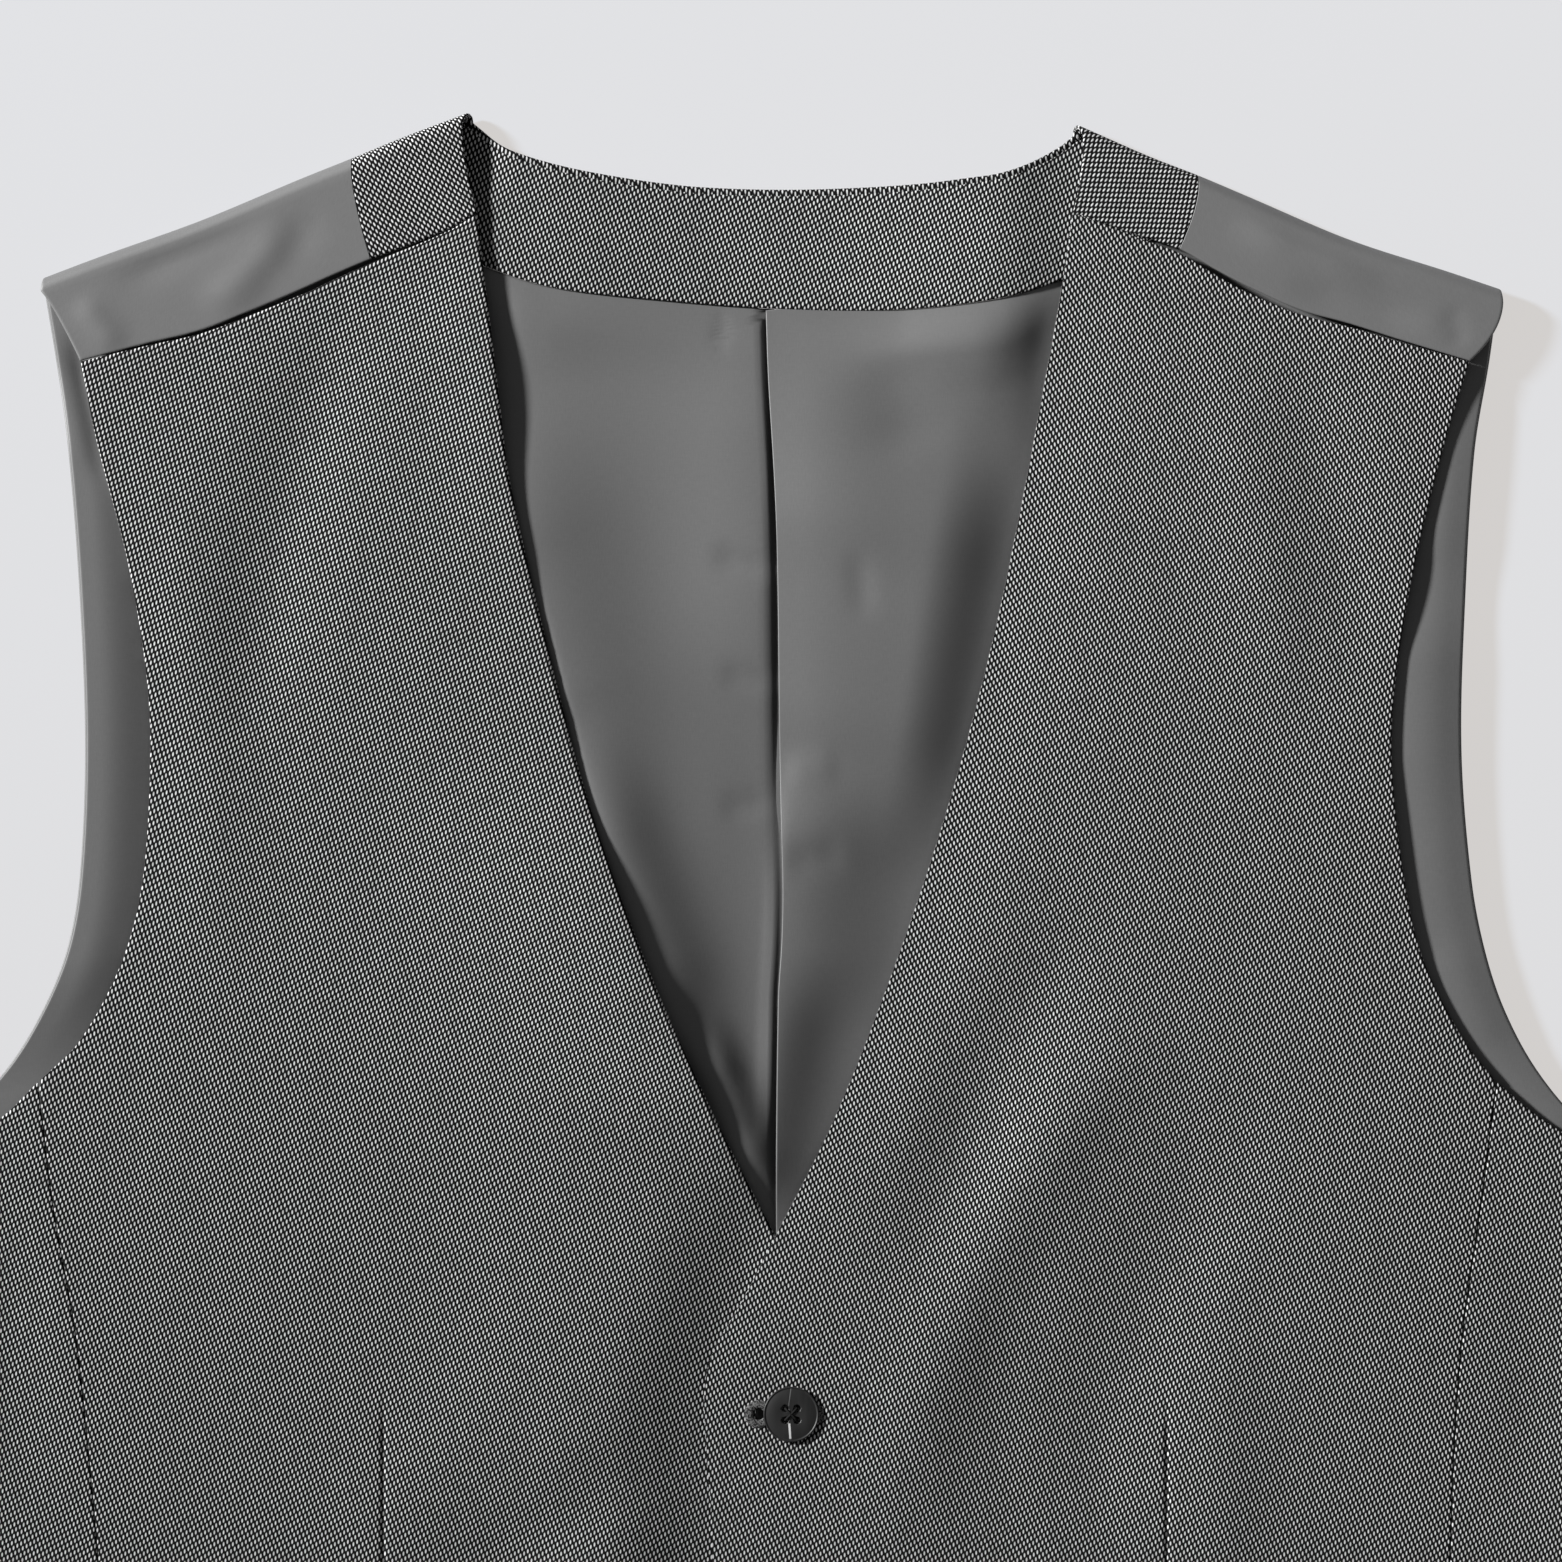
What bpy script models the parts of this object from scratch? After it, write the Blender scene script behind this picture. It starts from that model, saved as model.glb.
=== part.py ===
"""A man's suit waistcoat, laid flat on its back with the fronts buttoned.

Frame: metres, +Z up, +Y towards the neck, +X towards the wearer's left. The origin is under the
middle of the garment, on the surface that it lies on. Tables are in millimetres: down is measured
from the neck point towards the hem, across from the centre line outwards on either side.
"""
import math

import bmesh
import bpy
from mathutils import Vector

MM = 0.001
LENGTH = 650.0          # neck point to the points of the fronts
RIGHT = -1              # the wearer's right, at -X
LEFT = 1                # the wearer's left, at +X

# Cloth walls and the layers that lie on each other, from the surface up
SATIN = 1.0             # back satin and lining, each one wall
SUITING = 2.0           # front: cloth, canvas and facing together
SEAM = 0.3              # gap kept between pieces at every seam and between layers
SHOULDER_RADIUS = 3.5   # outside of the soft fold over each shoulder
SIDE_RADIUS = 3.2       # outside of the turn at each side
LINING_LOW = SATIN + SEAM
PLEAT_LOW = LINING_LOW + SATIN + SEAM
CENTRE_LOW = PLEAT_LOW + SATIN + SEAM
FLAP_RISE = 0.2
BODY_LOW = 2 * SHOULDER_RADIUS + FLAP_RISE - SUITING
POINT_LOW = 0.6         # the points of the fronts droop to the surface
OVERLAP_LIFT = SUITING + SEAM

# Buttons: 24 line, four holes, evenly spaced down the front
BUTTON_COUNT = 5
BUTTON_FIRST_DOWN = 348.3
BUTTON_PITCH = 58.0
BUTTON_ACROSS = 4.15
BUTTON_HOLE_RADIUS = 1.0
BUTTON_HOLE_SPACING = 3.2
BUTTON_STEPS = 24
# radius and height from the top of the dish, over the rim, to the back
BUTTON_PROFILE = (
    (0.0, 1.7), (5.2, 1.7), (5.8, 2.3), (6.9, 2.4), (7.5, 1.6), (7.3, 0.6), (6.0, 0.0), (0.0, 0.0),
)

# Edges that both fronts or both sides of the back have: down, across on the right, on the left
NECK_EDGE = (
    (26.2, 79.8, 79.8),
    (40.9, 78.2, 77.7),
    (54.9, 76.4, 75.4),
    (76.4, 73.8, 71.4),
    (97.8, 71.1, 67.4),
    (140.7, 61.4, 58.4),
    (183.6, 50.1, 46.9),
    (226.5, 34.8, 32.7),
    (269.3, 15.8, 15.8),
    (300.7, 0.0, 0.0),
)
CENTRE_EDGE = (
    (300.7, 0.0, 0.0),
    (319.0, -11.0, -9.4),
    (332.0, -18.5, -16.9),
    (343.0, -23.0, -19.0),
    (360.0, -25.6, -18.2),
    (380.0, -26.0, -16.9),
    (592.0, -26.0, -17.0),
)
FRONT_ARMHOLE = (
    (66.0, 186.2, 186.2),
    (87.1, 182.0, 179.8),
    (119.3, 173.7, 171.8),
    (151.0, 168.5, 166.5),
    (173.0, 167.6, 165.4),
    (205.0, 169.6, 168.8),
    (226.5, 175.0, 173.9),
    (247.9, 186.3, 184.7),
    (259.1, 197.5, 193.4),
)
UNDERARM = (
    (259.1, 197.5, 193.4),
    (268.4, 207.7, 205.3),
    (276.5, 221.0, 219.5),
    (284.0, 236.0, 235.5),
    (289.5, 250.0, 250.0),
)
SIDE_FRONT_SEAM = (
    (259.1, 197.5, 193.4),
    (292.0, 193.5, 189.2),
    (325.6, 187.6, 184.4),
    (357.0, 184.1, 182.0),
    (386.0, 181.5, 180.9),
    (450.0, 177.0, 177.0),
    (520.0, 175.0, 175.0),
    (600.0, 178.0, 178.0),
)
BACK_ARMHOLE = (
    (48.5, 196.0, 194.3),
    (66.0, 193.1, 191.9),
    (90.0, 189.6, 187.9),
    (130.0, 186.5, 185.4),
    (170.0, 185.1, 184.4),
    (205.0, 186.6, 187.1),
    (224.0, 190.0, 190.7),
    (240.0, 196.6, 196.0),
    (256.0, 206.6, 204.6),
    (270.0, 220.4, 216.5),
    (281.0, 236.0, 233.0),
    (289.5, 250.0, 250.0),
)

# The side from the underarm to the hem, alike on both sides: down, across
SIDE_EDGE = (
    (289.5, 250.0), (350.0, 242.5), (410.0, 234.5), (460.0, 231.5), (520.0, 234.0), (577.0, 240.0),
)

# Lines across each shoulder: across, down on the right, on the left
SHOULDER_FOLD = (
    (83.0, -0.6, 3.2),
    (100.5, 6.0, 10.9),
    (113.6, 11.4, 16.0),
    (127.3, 16.9, 21.8),
    (154.1, 28.1, 33.2),
    (180.9, 37.7, 41.9),
    (196.0, 43.4, 47.0),
)
SHOULDER_SEAM = (
    (79.8, 26.2, 26.2),
    (86.0, 29.9, 28.1),
    (95.0, 33.8, 31.5),
    (108.4, 38.8, 36.0),
    (119.0, 43.3, 42.0),
    (127.0, 46.9, 46.2),
    (140.7, 52.7, 52.3),
    (154.1, 57.9, 56.0),
    (168.5, 61.4, 60.6),
    (186.2, 66.0, 66.0),
)

# Lines round the back neck, from the wearer's right to the left: signed across, down
NECKLINE = (
    (-81.0, 1.9), (-79.1, 3.4), (-73.7, 7.7), (-68.3, 10.2), (-57.6, 13.3), (-46.9, 15.5),
    (-33.5, 17.6), (-20.1, 19.0), (0.0, 19.7), (20.1, 19.3), (38.9, 18.2), (52.3, 16.6),
    (60.3, 15.4), (68.3, 12.6), (76.4, 8.2), (79.9, 5.4),
)
BAND_DOWN = 51.7
BAND_EDGE = (
    (-113.6, 14.9), (-107.0, 24.0), (-95.0, 33.0), (-78.3, 40.2), (-60.3, 46.0), (-33.5, 49.2),
    (0.0, BAND_DOWN), (33.5, 52.0), (60.3, 49.0), (78.5, 43.5), (95.0, 36.5), (107.0, 28.5),
    (113.6, 19.5),
)
# The lining's pleat, its fold on the left half: down, signed across
PLEAT_EDGE = (
    (52.0, -2.5), (70.0, -1.9), (93.5, -0.5), (111.0, 0.5), (143.0, 0.5), (300.0, 0.0),
    (572.0, 0.0),
)
PLEAT_UNDERLAP = 4.0    # how far the right half runs on beneath the fold
PLEAT_RAMP = (12.0, 26.0)       # across, where the left half comes down to the back
LINING_SHARES = (0.0, 0.05, 0.11, 0.22, 0.34, 0.46, 0.59, 0.72, 0.86, 1.0)

# Hems
POINT_ACROSS = 55.0     # point of each front
FRONT_HEM = (LENGTH, 600.0)     # down at the point and at the side front seam
BACK_HEM = 578.0
LINING_HEM = 572.0
LINING_SIDE_INSET = 3.5
LINING_ARMHOLE_INSET = 0.6
FACING_NECK_INSET = 0.05        # share of the band's width

# Lines of the flap over each shoulder: across where the fold starts, across where it ends,
# across at the shoulder seam, and how late the line turns in on its way there
NECK_FLAP = {RIGHT: (81.0, 83.9, 79.8, 1.5), LEFT: (79.9, 82.6, 79.8, 2.0)}
BAND_FLAP = {RIGHT: (113.6, 113.6, 108.4, 1.4), LEFT: (113.6, 113.6, 108.4, 1.4)}
TIP_FLAP = {RIGHT: (196.0, 196.8, 186.2, 0.9), LEFT: (194.3, 195.2, 186.2, 1.75)}

# Faces along each stretch of a panel
FRONT_COLUMNS = 12
POINT_COLUMN = 4
NECK_ROWS = 18
CENTRE_ROWS = 20
SIDE_COLUMNS = 5
TURN_COLUMNS = 4
BACK_COLUMNS = 8
HEM_ROWS = 6
WAIST_ROWS = 8
BAND_ROWS = 12          # from the centre back to the shoulder
NOSE_ROWS = 6
FLAP_ROWS = 3
BAND_COLUMNS = FRONT_COLUMNS - BACK_COLUMNS


def ease(value, start, end):
    """Go smoothly from 0 at start to 1 at end."""
    t = min(max((value - start) / (end - start), 0.0), 1.0)
    return t * t * (3.0 - 2.0 * t)


def mix(a, b, t):
    return a + (b - a) * t


def smooth(points):
    """Return a curve through the points, read by its share of the length, from 0 to 1."""
    points = [Vector(p) for p in points]
    travel = [0.0]
    for a, b in zip(points, points[1:]):
        travel.append(travel[-1] + (b - a).length)
    slopes = []
    for i in range(len(points)):
        low = max(i - 1, 0)
        high = min(i + 1, len(points) - 1)
        slopes.append((points[high] - points[low]) / (travel[high] - travel[low]))

    def read(share):
        along = share * travel[-1]
        i = max(k for k in range(len(points) - 1) if travel[k] <= along or k == 0)
        span = travel[i + 1] - travel[i]
        t = (along - travel[i]) / span
        start = points[i] * (1 + 2 * t) * (1 - t) ** 2 + slopes[i] * span * t * (1 - t) ** 2
        end = points[i + 1] * t * t * (3 - 2 * t) + slopes[i + 1] * span * t * t * (t - 1)
        return start + end
    return read


def edge(table, side):
    """One side's curve from a table of down, right and left, as signed across and down."""
    column = 1 if side == RIGHT else 2
    return smooth([(side * row[column], row[0]) for row in table])


def part_of(curve, start, end):
    return lambda share: curve(mix(start, end, share))


def straight(start, end):
    return lambda share: Vector(start).lerp(Vector(end), share)


def chain(*legs):
    """Points along legs of (curve, steps), each leg starting where the last one ends."""
    points = [legs[0][0](0.0)]
    for curve, steps in legs:
        points += [curve(k / steps) for k in range(1, steps + 1)]
    return points


def read(table, at, column):
    """A column's value at a place in the table's first column, smooth from row to row."""
    last = len(table) - 1
    i = max((k for k in range(last) if table[k][0] <= at), default=0)
    slopes = []
    for k in (i, i + 1):
        before, after = table[max(k - 1, 0)], table[min(k + 1, last)]
        slopes.append((after[column] - before[column]) / (after[0] - before[0]))
    start, end = table[i], table[i + 1]
    span = end[0] - start[0]
    t = (at - start[0]) / span
    if t < 0.0:
        return start[column] + slopes[0] * (at - start[0])
    if t > 1.0:
        return end[column] + slopes[1] * (at - end[0])
    near = start[column] * (1 + 2 * t) + slopes[0] * span * t
    far = end[column] * (3 - 2 * t) + slopes[1] * span * (t - 1)
    return near * (1 - t) ** 2 + far * t * t


def shoulder_line(table, x):
    return read(table, abs(x), 1 if x < 0 else 2)


def side_line(side, inset):
    """The side from the underarm to the hem, moved inwards by the inset."""
    def point(share):
        down = mix(SIDE_EDGE[0][0], SIDE_EDGE[-1][0], share)
        return Vector((side * (read(SIDE_EDGE, down, 1) - inset), down))
    return point


def even_shares(count):
    return [k / count for k in range(count + 1)]


def patch(inner, outer, top, bottom, shares):
    """Rows of points between an inner and an outer edge that follow the top and bottom edges."""
    rows = []
    for i, (start, end) in enumerate(zip(inner, outer)):
        v = i / (len(inner) - 1)
        row = []
        for j, u in enumerate(shares):
            corners = top[0].lerp(top[-1], u).lerp(bottom[0].lerp(bottom[-1], u), v)
            row.append(start.lerp(end, u) + top[j].lerp(bottom[j], v) - corners)
        rows.append(row)
    return rows


def panel(name, rows, place, thickness, material, faces_up):
    """Cut a flat piece, take half a seam gap off all round, lay it in place and thicken it."""
    bm = bmesh.new()
    last_row = len(rows) - 1
    last_column = len(rows[0]) - 1
    bmesh.ops.create_grid(bm, x_segments=last_column, y_segments=last_row, size=0.5)
    for vert in bm.verts:
        i = round((vert.co.y + 0.5) * last_row)
        j = round((vert.co.x + 0.5) * last_column)
        vert.co = (rows[i][j].x, -rows[i][j].y, 0.0)
    bm.normal_update()
    if next(iter(bm.faces)).normal.z < 0:
        bmesh.ops.reverse_faces(bm, faces=bm.faces[:])
    rim = bmesh.ops.inset_region(bm, faces=bm.faces[:], thickness=SEAM / 2, use_boundary=True)
    bmesh.ops.delete(bm, geom=rim["faces"], context="FACES")
    for vert in bm.verts:
        x, down, z = place(vert.co.x, -vert.co.y)
        vert.co = (x * MM, (LENGTH / 2 - down) * MM, z * MM)
    if not faces_up:
        bmesh.ops.reverse_faces(bm, faces=bm.faces[:])
    mesh = bpy.data.meshes.new(name)
    bm.to_mesh(mesh)
    bm.free()
    piece = add_object(name, mesh, material)
    wall = piece.modifiers.new("wall", "SOLIDIFY")
    wall.thickness = thickness * MM
    wall.offset = -1.0
    return piece


def add_object(name, mesh, material):
    piece = bpy.data.objects.new(name, mesh)
    waistcoat.objects.link(piece)
    mesh.materials.append(material)
    mesh.shade_smooth()
    mesh.set_sharp_from_angle(angle=math.radians(40))
    return piece


def cloth(name, colour, roughness):
    material = bpy.data.materials.new(name)
    material.use_nodes = True
    shader = material.node_tree.nodes["Principled BSDF"]
    shader.inputs["Base Color"].default_value = (*colour, 1.0)
    shader.inputs["Roughness"].default_value = roughness
    shader.inputs["Metallic"].default_value = 0.0
    return material


def front_low(x, down):
    """Height of the underside of the fronts, where nothing laps over anything."""
    middle = (1 - ease(abs(x - BUTTON_ACROSS), 28, 75)) * ease(down, 200, 290)
    low = mix(BODY_LOW, CENTRE_LOW, middle)
    low = mix(low, CENTRE_LOW, ease(down, 500, 580))
    return mix(low, POINT_LOW, ease(down, 616, 658))


def overlap(x, down):
    """Extra height of the left front, which lies on the right one along the middle."""
    return OVERLAP_LIFT * (1 - ease(x, 28, 66)) * ease(down, 225, 285) * (1 - ease(down, 618, 652))


def over_shoulder(x, down):
    """Bend the back's pattern up round the shoulder fold and down along the front."""
    start = shoulder_line(SHOULDER_FOLD, x) + SHOULDER_RADIUS
    past = start - down
    if past <= 0.0:
        return x, down, 0.0
    angle = past / SHOULDER_RADIUS
    if angle < math.pi:
        height = SHOULDER_RADIUS * (1 - math.cos(angle))
        return x, start - SHOULDER_RADIUS * math.sin(angle), height
    past -= math.pi * SHOULDER_RADIUS
    flap = shoulder_line(SHOULDER_SEAM, x) - start
    return x, start + past, 2 * SHOULDER_RADIUS + FLAP_RISE * past / flap


def flap_across(line, fold_share, flap_share):
    start, end, seam, turn = line
    return mix(mix(start, end, ease(fold_share, 0, 1)), seam, flap_share ** turn)


def flap_rows(inner_line, outer_line, side, columns):
    """Pattern rows from the shoulder fold's start, over the fold, to the shoulder seam."""
    rows = []
    for k in range(1, NOSE_ROWS + FLAP_ROWS + 1):
        fold_share = min(k / NOSE_ROWS, 1.0)
        share = max(k - NOSE_ROWS, 0) / FLAP_ROWS
        inner = flap_across(inner_line, fold_share, share)
        outer = flap_across(outer_line, fold_share, share)
        row = []
        for j in range(columns + 1):
            x = side * mix(inner, outer, j / columns)
            start = shoulder_line(SHOULDER_FOLD, x) + SHOULDER_RADIUS
            past = math.pi * SHOULDER_RADIUS * fold_share
            past += share * (shoulder_line(SHOULDER_SEAM, x) - start)
            row.append(Vector((x, start - past)))
        rows.append(row)
    return rows


def band_half(side):
    """Points along the outer back's edge under the neck band, from the middle to the shoulder."""
    band = smooth(BAND_EDGE)
    middle = min(range(401), key=lambda k: abs(band(k / 400).x)) / 400
    return chain((part_of(band, middle, 0.0 if side == RIGHT else 1.0), BAND_ROWS))


def back_body(side, centre, hem, side_inset, armhole_inset, shares):
    """Flat rows of a back half from the hem up to the start of the shoulder fold."""
    rows = [(down, r - armhole_inset, l - armhole_inset) for down, r, l in BACK_ARMHOLE]
    armhole = edge(rows, side)
    inner = chain((part_of(centre, 1.0, 0.46), HEM_ROWS), (part_of(centre, 0.46, 0.0), WAIST_ROWS))
    inner += band_half(side)[1:]
    outer = chain(
        (part_of(side_line(side, side_inset), 1.0, 0.0), HEM_ROWS),
        (part_of(armhole, 1.0, 0.4), WAIST_ROWS),
        (part_of(armhole, 0.4, 0.0), BAND_ROWS),
    )
    hem_points = [Vector((mix(inner[0].x, outer[0].x, share), hem)) for share in shares]
    fold_points = []
    for share in shares:
        x = mix(inner[-1].x, outer[-1].x, share)
        fold_points.append(Vector((x, shoulder_line(SHOULDER_FOLD, x) + SHOULDER_RADIUS)))
    inner[-1] = fold_points[0]
    outer[-1] = fold_points[-1]
    return patch(inner, outer, hem_points, fold_points, shares)


def build_fronts():
    """Two fronts, from the shoulder seam to the points; the left one laps over the right."""
    neck, band, tip = (line[LEFT][2] for line in (NECK_FLAP, BAND_FLAP, TIP_FLAP))
    seam_across = [mix(neck, band, share) for share in even_shares(BAND_COLUMNS)]
    seam_across += [mix(band, tip, share) for share in even_shares(BACK_COLUMNS)[1:]]
    for side, name in ((RIGHT, "front_right"), (LEFT, "front_left")):
        inner = chain((edge(NECK_EDGE, side), NECK_ROWS), (edge(CENTRE_EDGE, side), CENTRE_ROWS))
        outer = chain(
            (edge(FRONT_ARMHOLE, side), NECK_ROWS),
            (edge(SIDE_FRONT_SEAM, side), CENTRE_ROWS),
        )
        top = [Vector((side * x, shoulder_line(SHOULDER_SEAM, side * x))) for x in seam_across]
        point = Vector((side * POINT_ACROSS, FRONT_HEM[0]))
        bottom = chain(
            (straight(inner[-1], point), POINT_COLUMN),
            (straight(point, outer[-1]), FRONT_COLUMNS - POINT_COLUMN),
        )

        def lay(x, down, lapped=side == LEFT):
            top_height = front_low(x, down) + SUITING
            return x, down, top_height + (overlap(x, down) if lapped else 0.0)
        rows = patch(inner, outer, top, bottom, even_shares(FRONT_COLUMNS))
        panel(name, rows, lay, SUITING, suiting, True)


def build_side_fronts():
    """The panel beyond each side front seam, turned down round the side to the back's edge."""
    turn = math.pi / 2 * SIDE_RADIUS
    for side, name in ((RIGHT, "side_front_right"), (LEFT, "side_front_left")):
        inner = chain((edge(SIDE_FRONT_SEAM, side), CENTRE_ROWS))
        outer = chain((side_line(side, SIDE_RADIUS), CENTRE_ROWS))
        underarm = chain((edge(UNDERARM, side), SIDE_COLUMNS))
        for j, point in enumerate(underarm):
            point.x -= side * SIDE_RADIUS * j / SIDE_COLUMNS
        hem = chain((straight(inner[-1], outer[-1]), SIDE_COLUMNS))
        rows = patch(inner, outer, underarm, hem, even_shares(SIDE_COLUMNS))
        for row in rows:
            last = row[-1]
            for k in range(1, TURN_COLUMNS):
                row.append(last + Vector((side * turn * k / (TURN_COLUMNS - 1), 0)))
            wall = front_low(last.x, last.y) + SUITING - SIDE_RADIUS - LINING_LOW
            row.append(last + Vector((side * (turn + wall + SEAM / 2), 0)))
        panel(name, rows, down_the_side, SUITING, suiting, True)


def down_the_side(x, down):
    """Bend the side panel's pattern down round the side of the garment."""
    side = LEFT if x > 0 else RIGHT
    start = read(SIDE_EDGE, down, 1) - SIDE_RADIUS
    past = side * x - start
    if past <= 0.0:
        return x, down, front_low(x, down) + SUITING
    angle = min(past / SIDE_RADIUS, math.pi / 2)
    drop = SIDE_RADIUS * (1 - math.cos(angle)) + past - angle * SIDE_RADIUS
    high = front_low(side * start, down) + SUITING
    return side * (start + SIDE_RADIUS * math.sin(angle)), down, high - drop


def build_back():
    """Outer back in two halves, each wrapped over its shoulder to the shoulder seam."""
    for side, name in ((RIGHT, "back_right"), (LEFT, "back_left")):
        centre = straight((0.0, BAND_DOWN), (0.0, BACK_HEM))
        rows = back_body(side, centre, BACK_HEM, 0.0, 0.0, even_shares(BACK_COLUMNS))
        rows += flap_rows(BAND_FLAP[side], TIP_FLAP[side], side, BACK_COLUMNS)
        panel(name, rows, over_shoulder, SATIN, satin, False)


def build_neck():
    """Band round the outside of the neck and over the shoulders, and the facing inside it."""
    neckline = chain((smooth(NECKLINE), 2 * BAND_ROWS))
    band_edge = band_half(RIGHT)[:0:-1] + band_half(LEFT)
    shares = even_shares(BAND_COLUMNS)
    rows = flap_rows(NECK_FLAP[RIGHT], BAND_FLAP[RIGHT], RIGHT, BAND_COLUMNS)[::-1]
    rows += [[a.lerp(b, share) for share in shares] for a, b in zip(neckline, band_edge)]
    rows += flap_rows(NECK_FLAP[LEFT], BAND_FLAP[LEFT], LEFT, BAND_COLUMNS)
    panel("back_neck_band", rows, over_shoulder, SATIN, suiting, False)

    shares = [mix(FACING_NECK_INSET, 1.0, share) for share in shares]
    inside = [[a.lerp(b, share) for share in shares] for a, b in zip(neckline, band_edge)]

    def lay(x, down):
        return x, down, LINING_LOW + SATIN
    panel("back_neck_facing", inside, lay, SATIN, suiting, True)


def build_lining():
    """Inside back; the left half's folded edge lies on the right half along the centre."""
    fold = smooth([(x, down) for down, x in PLEAT_EDGE])
    underlap = straight((PLEAT_UNDERLAP, BAND_DOWN), (PLEAT_UNDERLAP, LINING_HEM))

    def lay_left(x, down):
        raised = (PLEAT_LOW - LINING_LOW) * (1 - ease(x, *PLEAT_RAMP))
        return x, down, LINING_LOW + SATIN + raised

    def lay_right(x, down):
        return x, down, LINING_LOW + SATIN
    insets = (LINING_SIDE_INSET, LINING_ARMHOLE_INSET)
    for side, name, centre, lay in (
        (RIGHT, "back_lining_right", underlap, lay_right),
        (LEFT, "back_lining_left", fold, lay_left),
    ):
        rows = back_body(side, centre, LINING_HEM, *insets, LINING_SHARES)
        panel(name, rows, lay, SATIN, lining, True)


def build_buttons():
    """Turned four-hole buttons, each on the left front over its buttonhole."""
    profile = bpy.data.meshes.new("button_profile")
    points = [(radius * MM, 0.0, height * MM) for radius, height in BUTTON_PROFILE]
    profile.from_pydata(points, [(k, k + 1) for k in range(len(points) - 1)], [])
    profile.materials.append(horn)
    drill = bmesh.new()
    for quarter in range(4):
        angle = math.radians(45 + 90 * quarter)
        reach = BUTTON_HOLE_SPACING / math.sqrt(2) * MM
        hole = bmesh.ops.create_cone(
            drill, cap_ends=True, segments=8, depth=8 * MM,
            radius1=BUTTON_HOLE_RADIUS * MM, radius2=BUTTON_HOLE_RADIUS * MM,
        )
        place = (reach * math.cos(angle), reach * math.sin(angle), 0.0)
        bmesh.ops.translate(drill, verts=hole["verts"], vec=place)
    holes = bpy.data.meshes.new("button_holes")
    drill.to_mesh(holes)
    drill.free()
    for k in range(BUTTON_COUNT):
        down = BUTTON_FIRST_DOWN + k * BUTTON_PITCH
        low = front_low(BUTTON_ACROSS, down) + OVERLAP_LIFT + SUITING + SEAM
        place = (BUTTON_ACROSS * MM, (LENGTH / 2 - down) * MM, low * MM)
        cutter = bpy.data.objects.new(f"button_{k + 1}_holes", holes)
        cutters.objects.link(cutter)
        cutter.location = place
        cutter.hide_render = True
        cutter.display_type = "WIRE"
        button = bpy.data.objects.new(f"button_{k + 1}", profile)
        waistcoat.objects.link(button)
        button.location = place
        turn = button.modifiers.new("turn", "SCREW")
        turn.steps = BUTTON_STEPS
        turn.render_steps = BUTTON_STEPS
        turn.use_merge_vertices = True
        turn.merge_threshold = 0.00001
        cut = button.modifiers.new("holes", "BOOLEAN")
        cut.operation = "DIFFERENCE"
        cut.solver = "EXACT"
        cut.object = cutter


for old in list(bpy.data.objects):
    bpy.data.objects.remove(old, do_unlink=True)
waistcoat = bpy.data.collections.new("Suit waistcoat")
cutters = bpy.data.collections.new("Cutters")
bpy.context.scene.collection.children.link(waistcoat)
bpy.context.scene.collection.children.link(cutters)

suiting = cloth("nailhead suiting", (0.13, 0.13, 0.13), 0.85)
satin = cloth("grey back satin", (0.17, 0.17, 0.17), 0.5)
lining = cloth("grey lining", (0.14, 0.14, 0.14), 0.5)
horn = cloth("dark button", (0.02, 0.02, 0.02), 0.4)

build_fronts()
build_side_fronts()
build_back()
build_neck()
build_lining()
build_buttons()
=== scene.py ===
import math

import bmesh
import bpy
import numpy as np
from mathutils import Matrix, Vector


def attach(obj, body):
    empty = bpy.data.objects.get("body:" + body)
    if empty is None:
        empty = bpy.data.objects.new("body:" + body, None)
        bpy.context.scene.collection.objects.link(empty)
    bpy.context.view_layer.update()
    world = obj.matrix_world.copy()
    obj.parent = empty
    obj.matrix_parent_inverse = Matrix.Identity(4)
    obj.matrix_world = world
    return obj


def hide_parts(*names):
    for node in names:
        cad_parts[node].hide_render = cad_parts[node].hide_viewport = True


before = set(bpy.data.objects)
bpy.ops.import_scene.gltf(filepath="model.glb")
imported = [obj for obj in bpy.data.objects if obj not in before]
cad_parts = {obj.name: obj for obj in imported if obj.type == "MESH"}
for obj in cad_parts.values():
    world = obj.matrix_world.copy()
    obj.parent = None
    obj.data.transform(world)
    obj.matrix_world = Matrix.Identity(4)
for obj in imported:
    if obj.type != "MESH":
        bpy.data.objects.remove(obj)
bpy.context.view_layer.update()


# ---- Table, light and camera ----
# A pale table top in a studio: one low lamp from the left, beyond the shoulders, and a dim pale
# room. The camera looks straight down on the chest and shoulders.
scene = bpy.context.scene
scene.view_settings.view_transform = "Standard"
scene.view_settings.look = "None"

TABLE_LOW = -0.0003
TABLE_REACH = 4.0       # from the middle of the table top to each of its sides
VIEW_CENTRE = Vector((0.0016, 0.1465, 0.007))
VIEW_WIDTH = 0.4186
CAMERA_DISTANCE = 2.4
SENSOR_WIDTH = 36.0
KEY_PLACE = Vector((-6.062, 2.630, 2.958))
KEY_AIM = Vector((-0.45, 1.32, 0.0))
KEY_POWER = 6680.0
KEY_RADIUS = 0.46
KEY_SPREAD = math.radians(34)
ROOM_STRENGTH = 0.15

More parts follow.
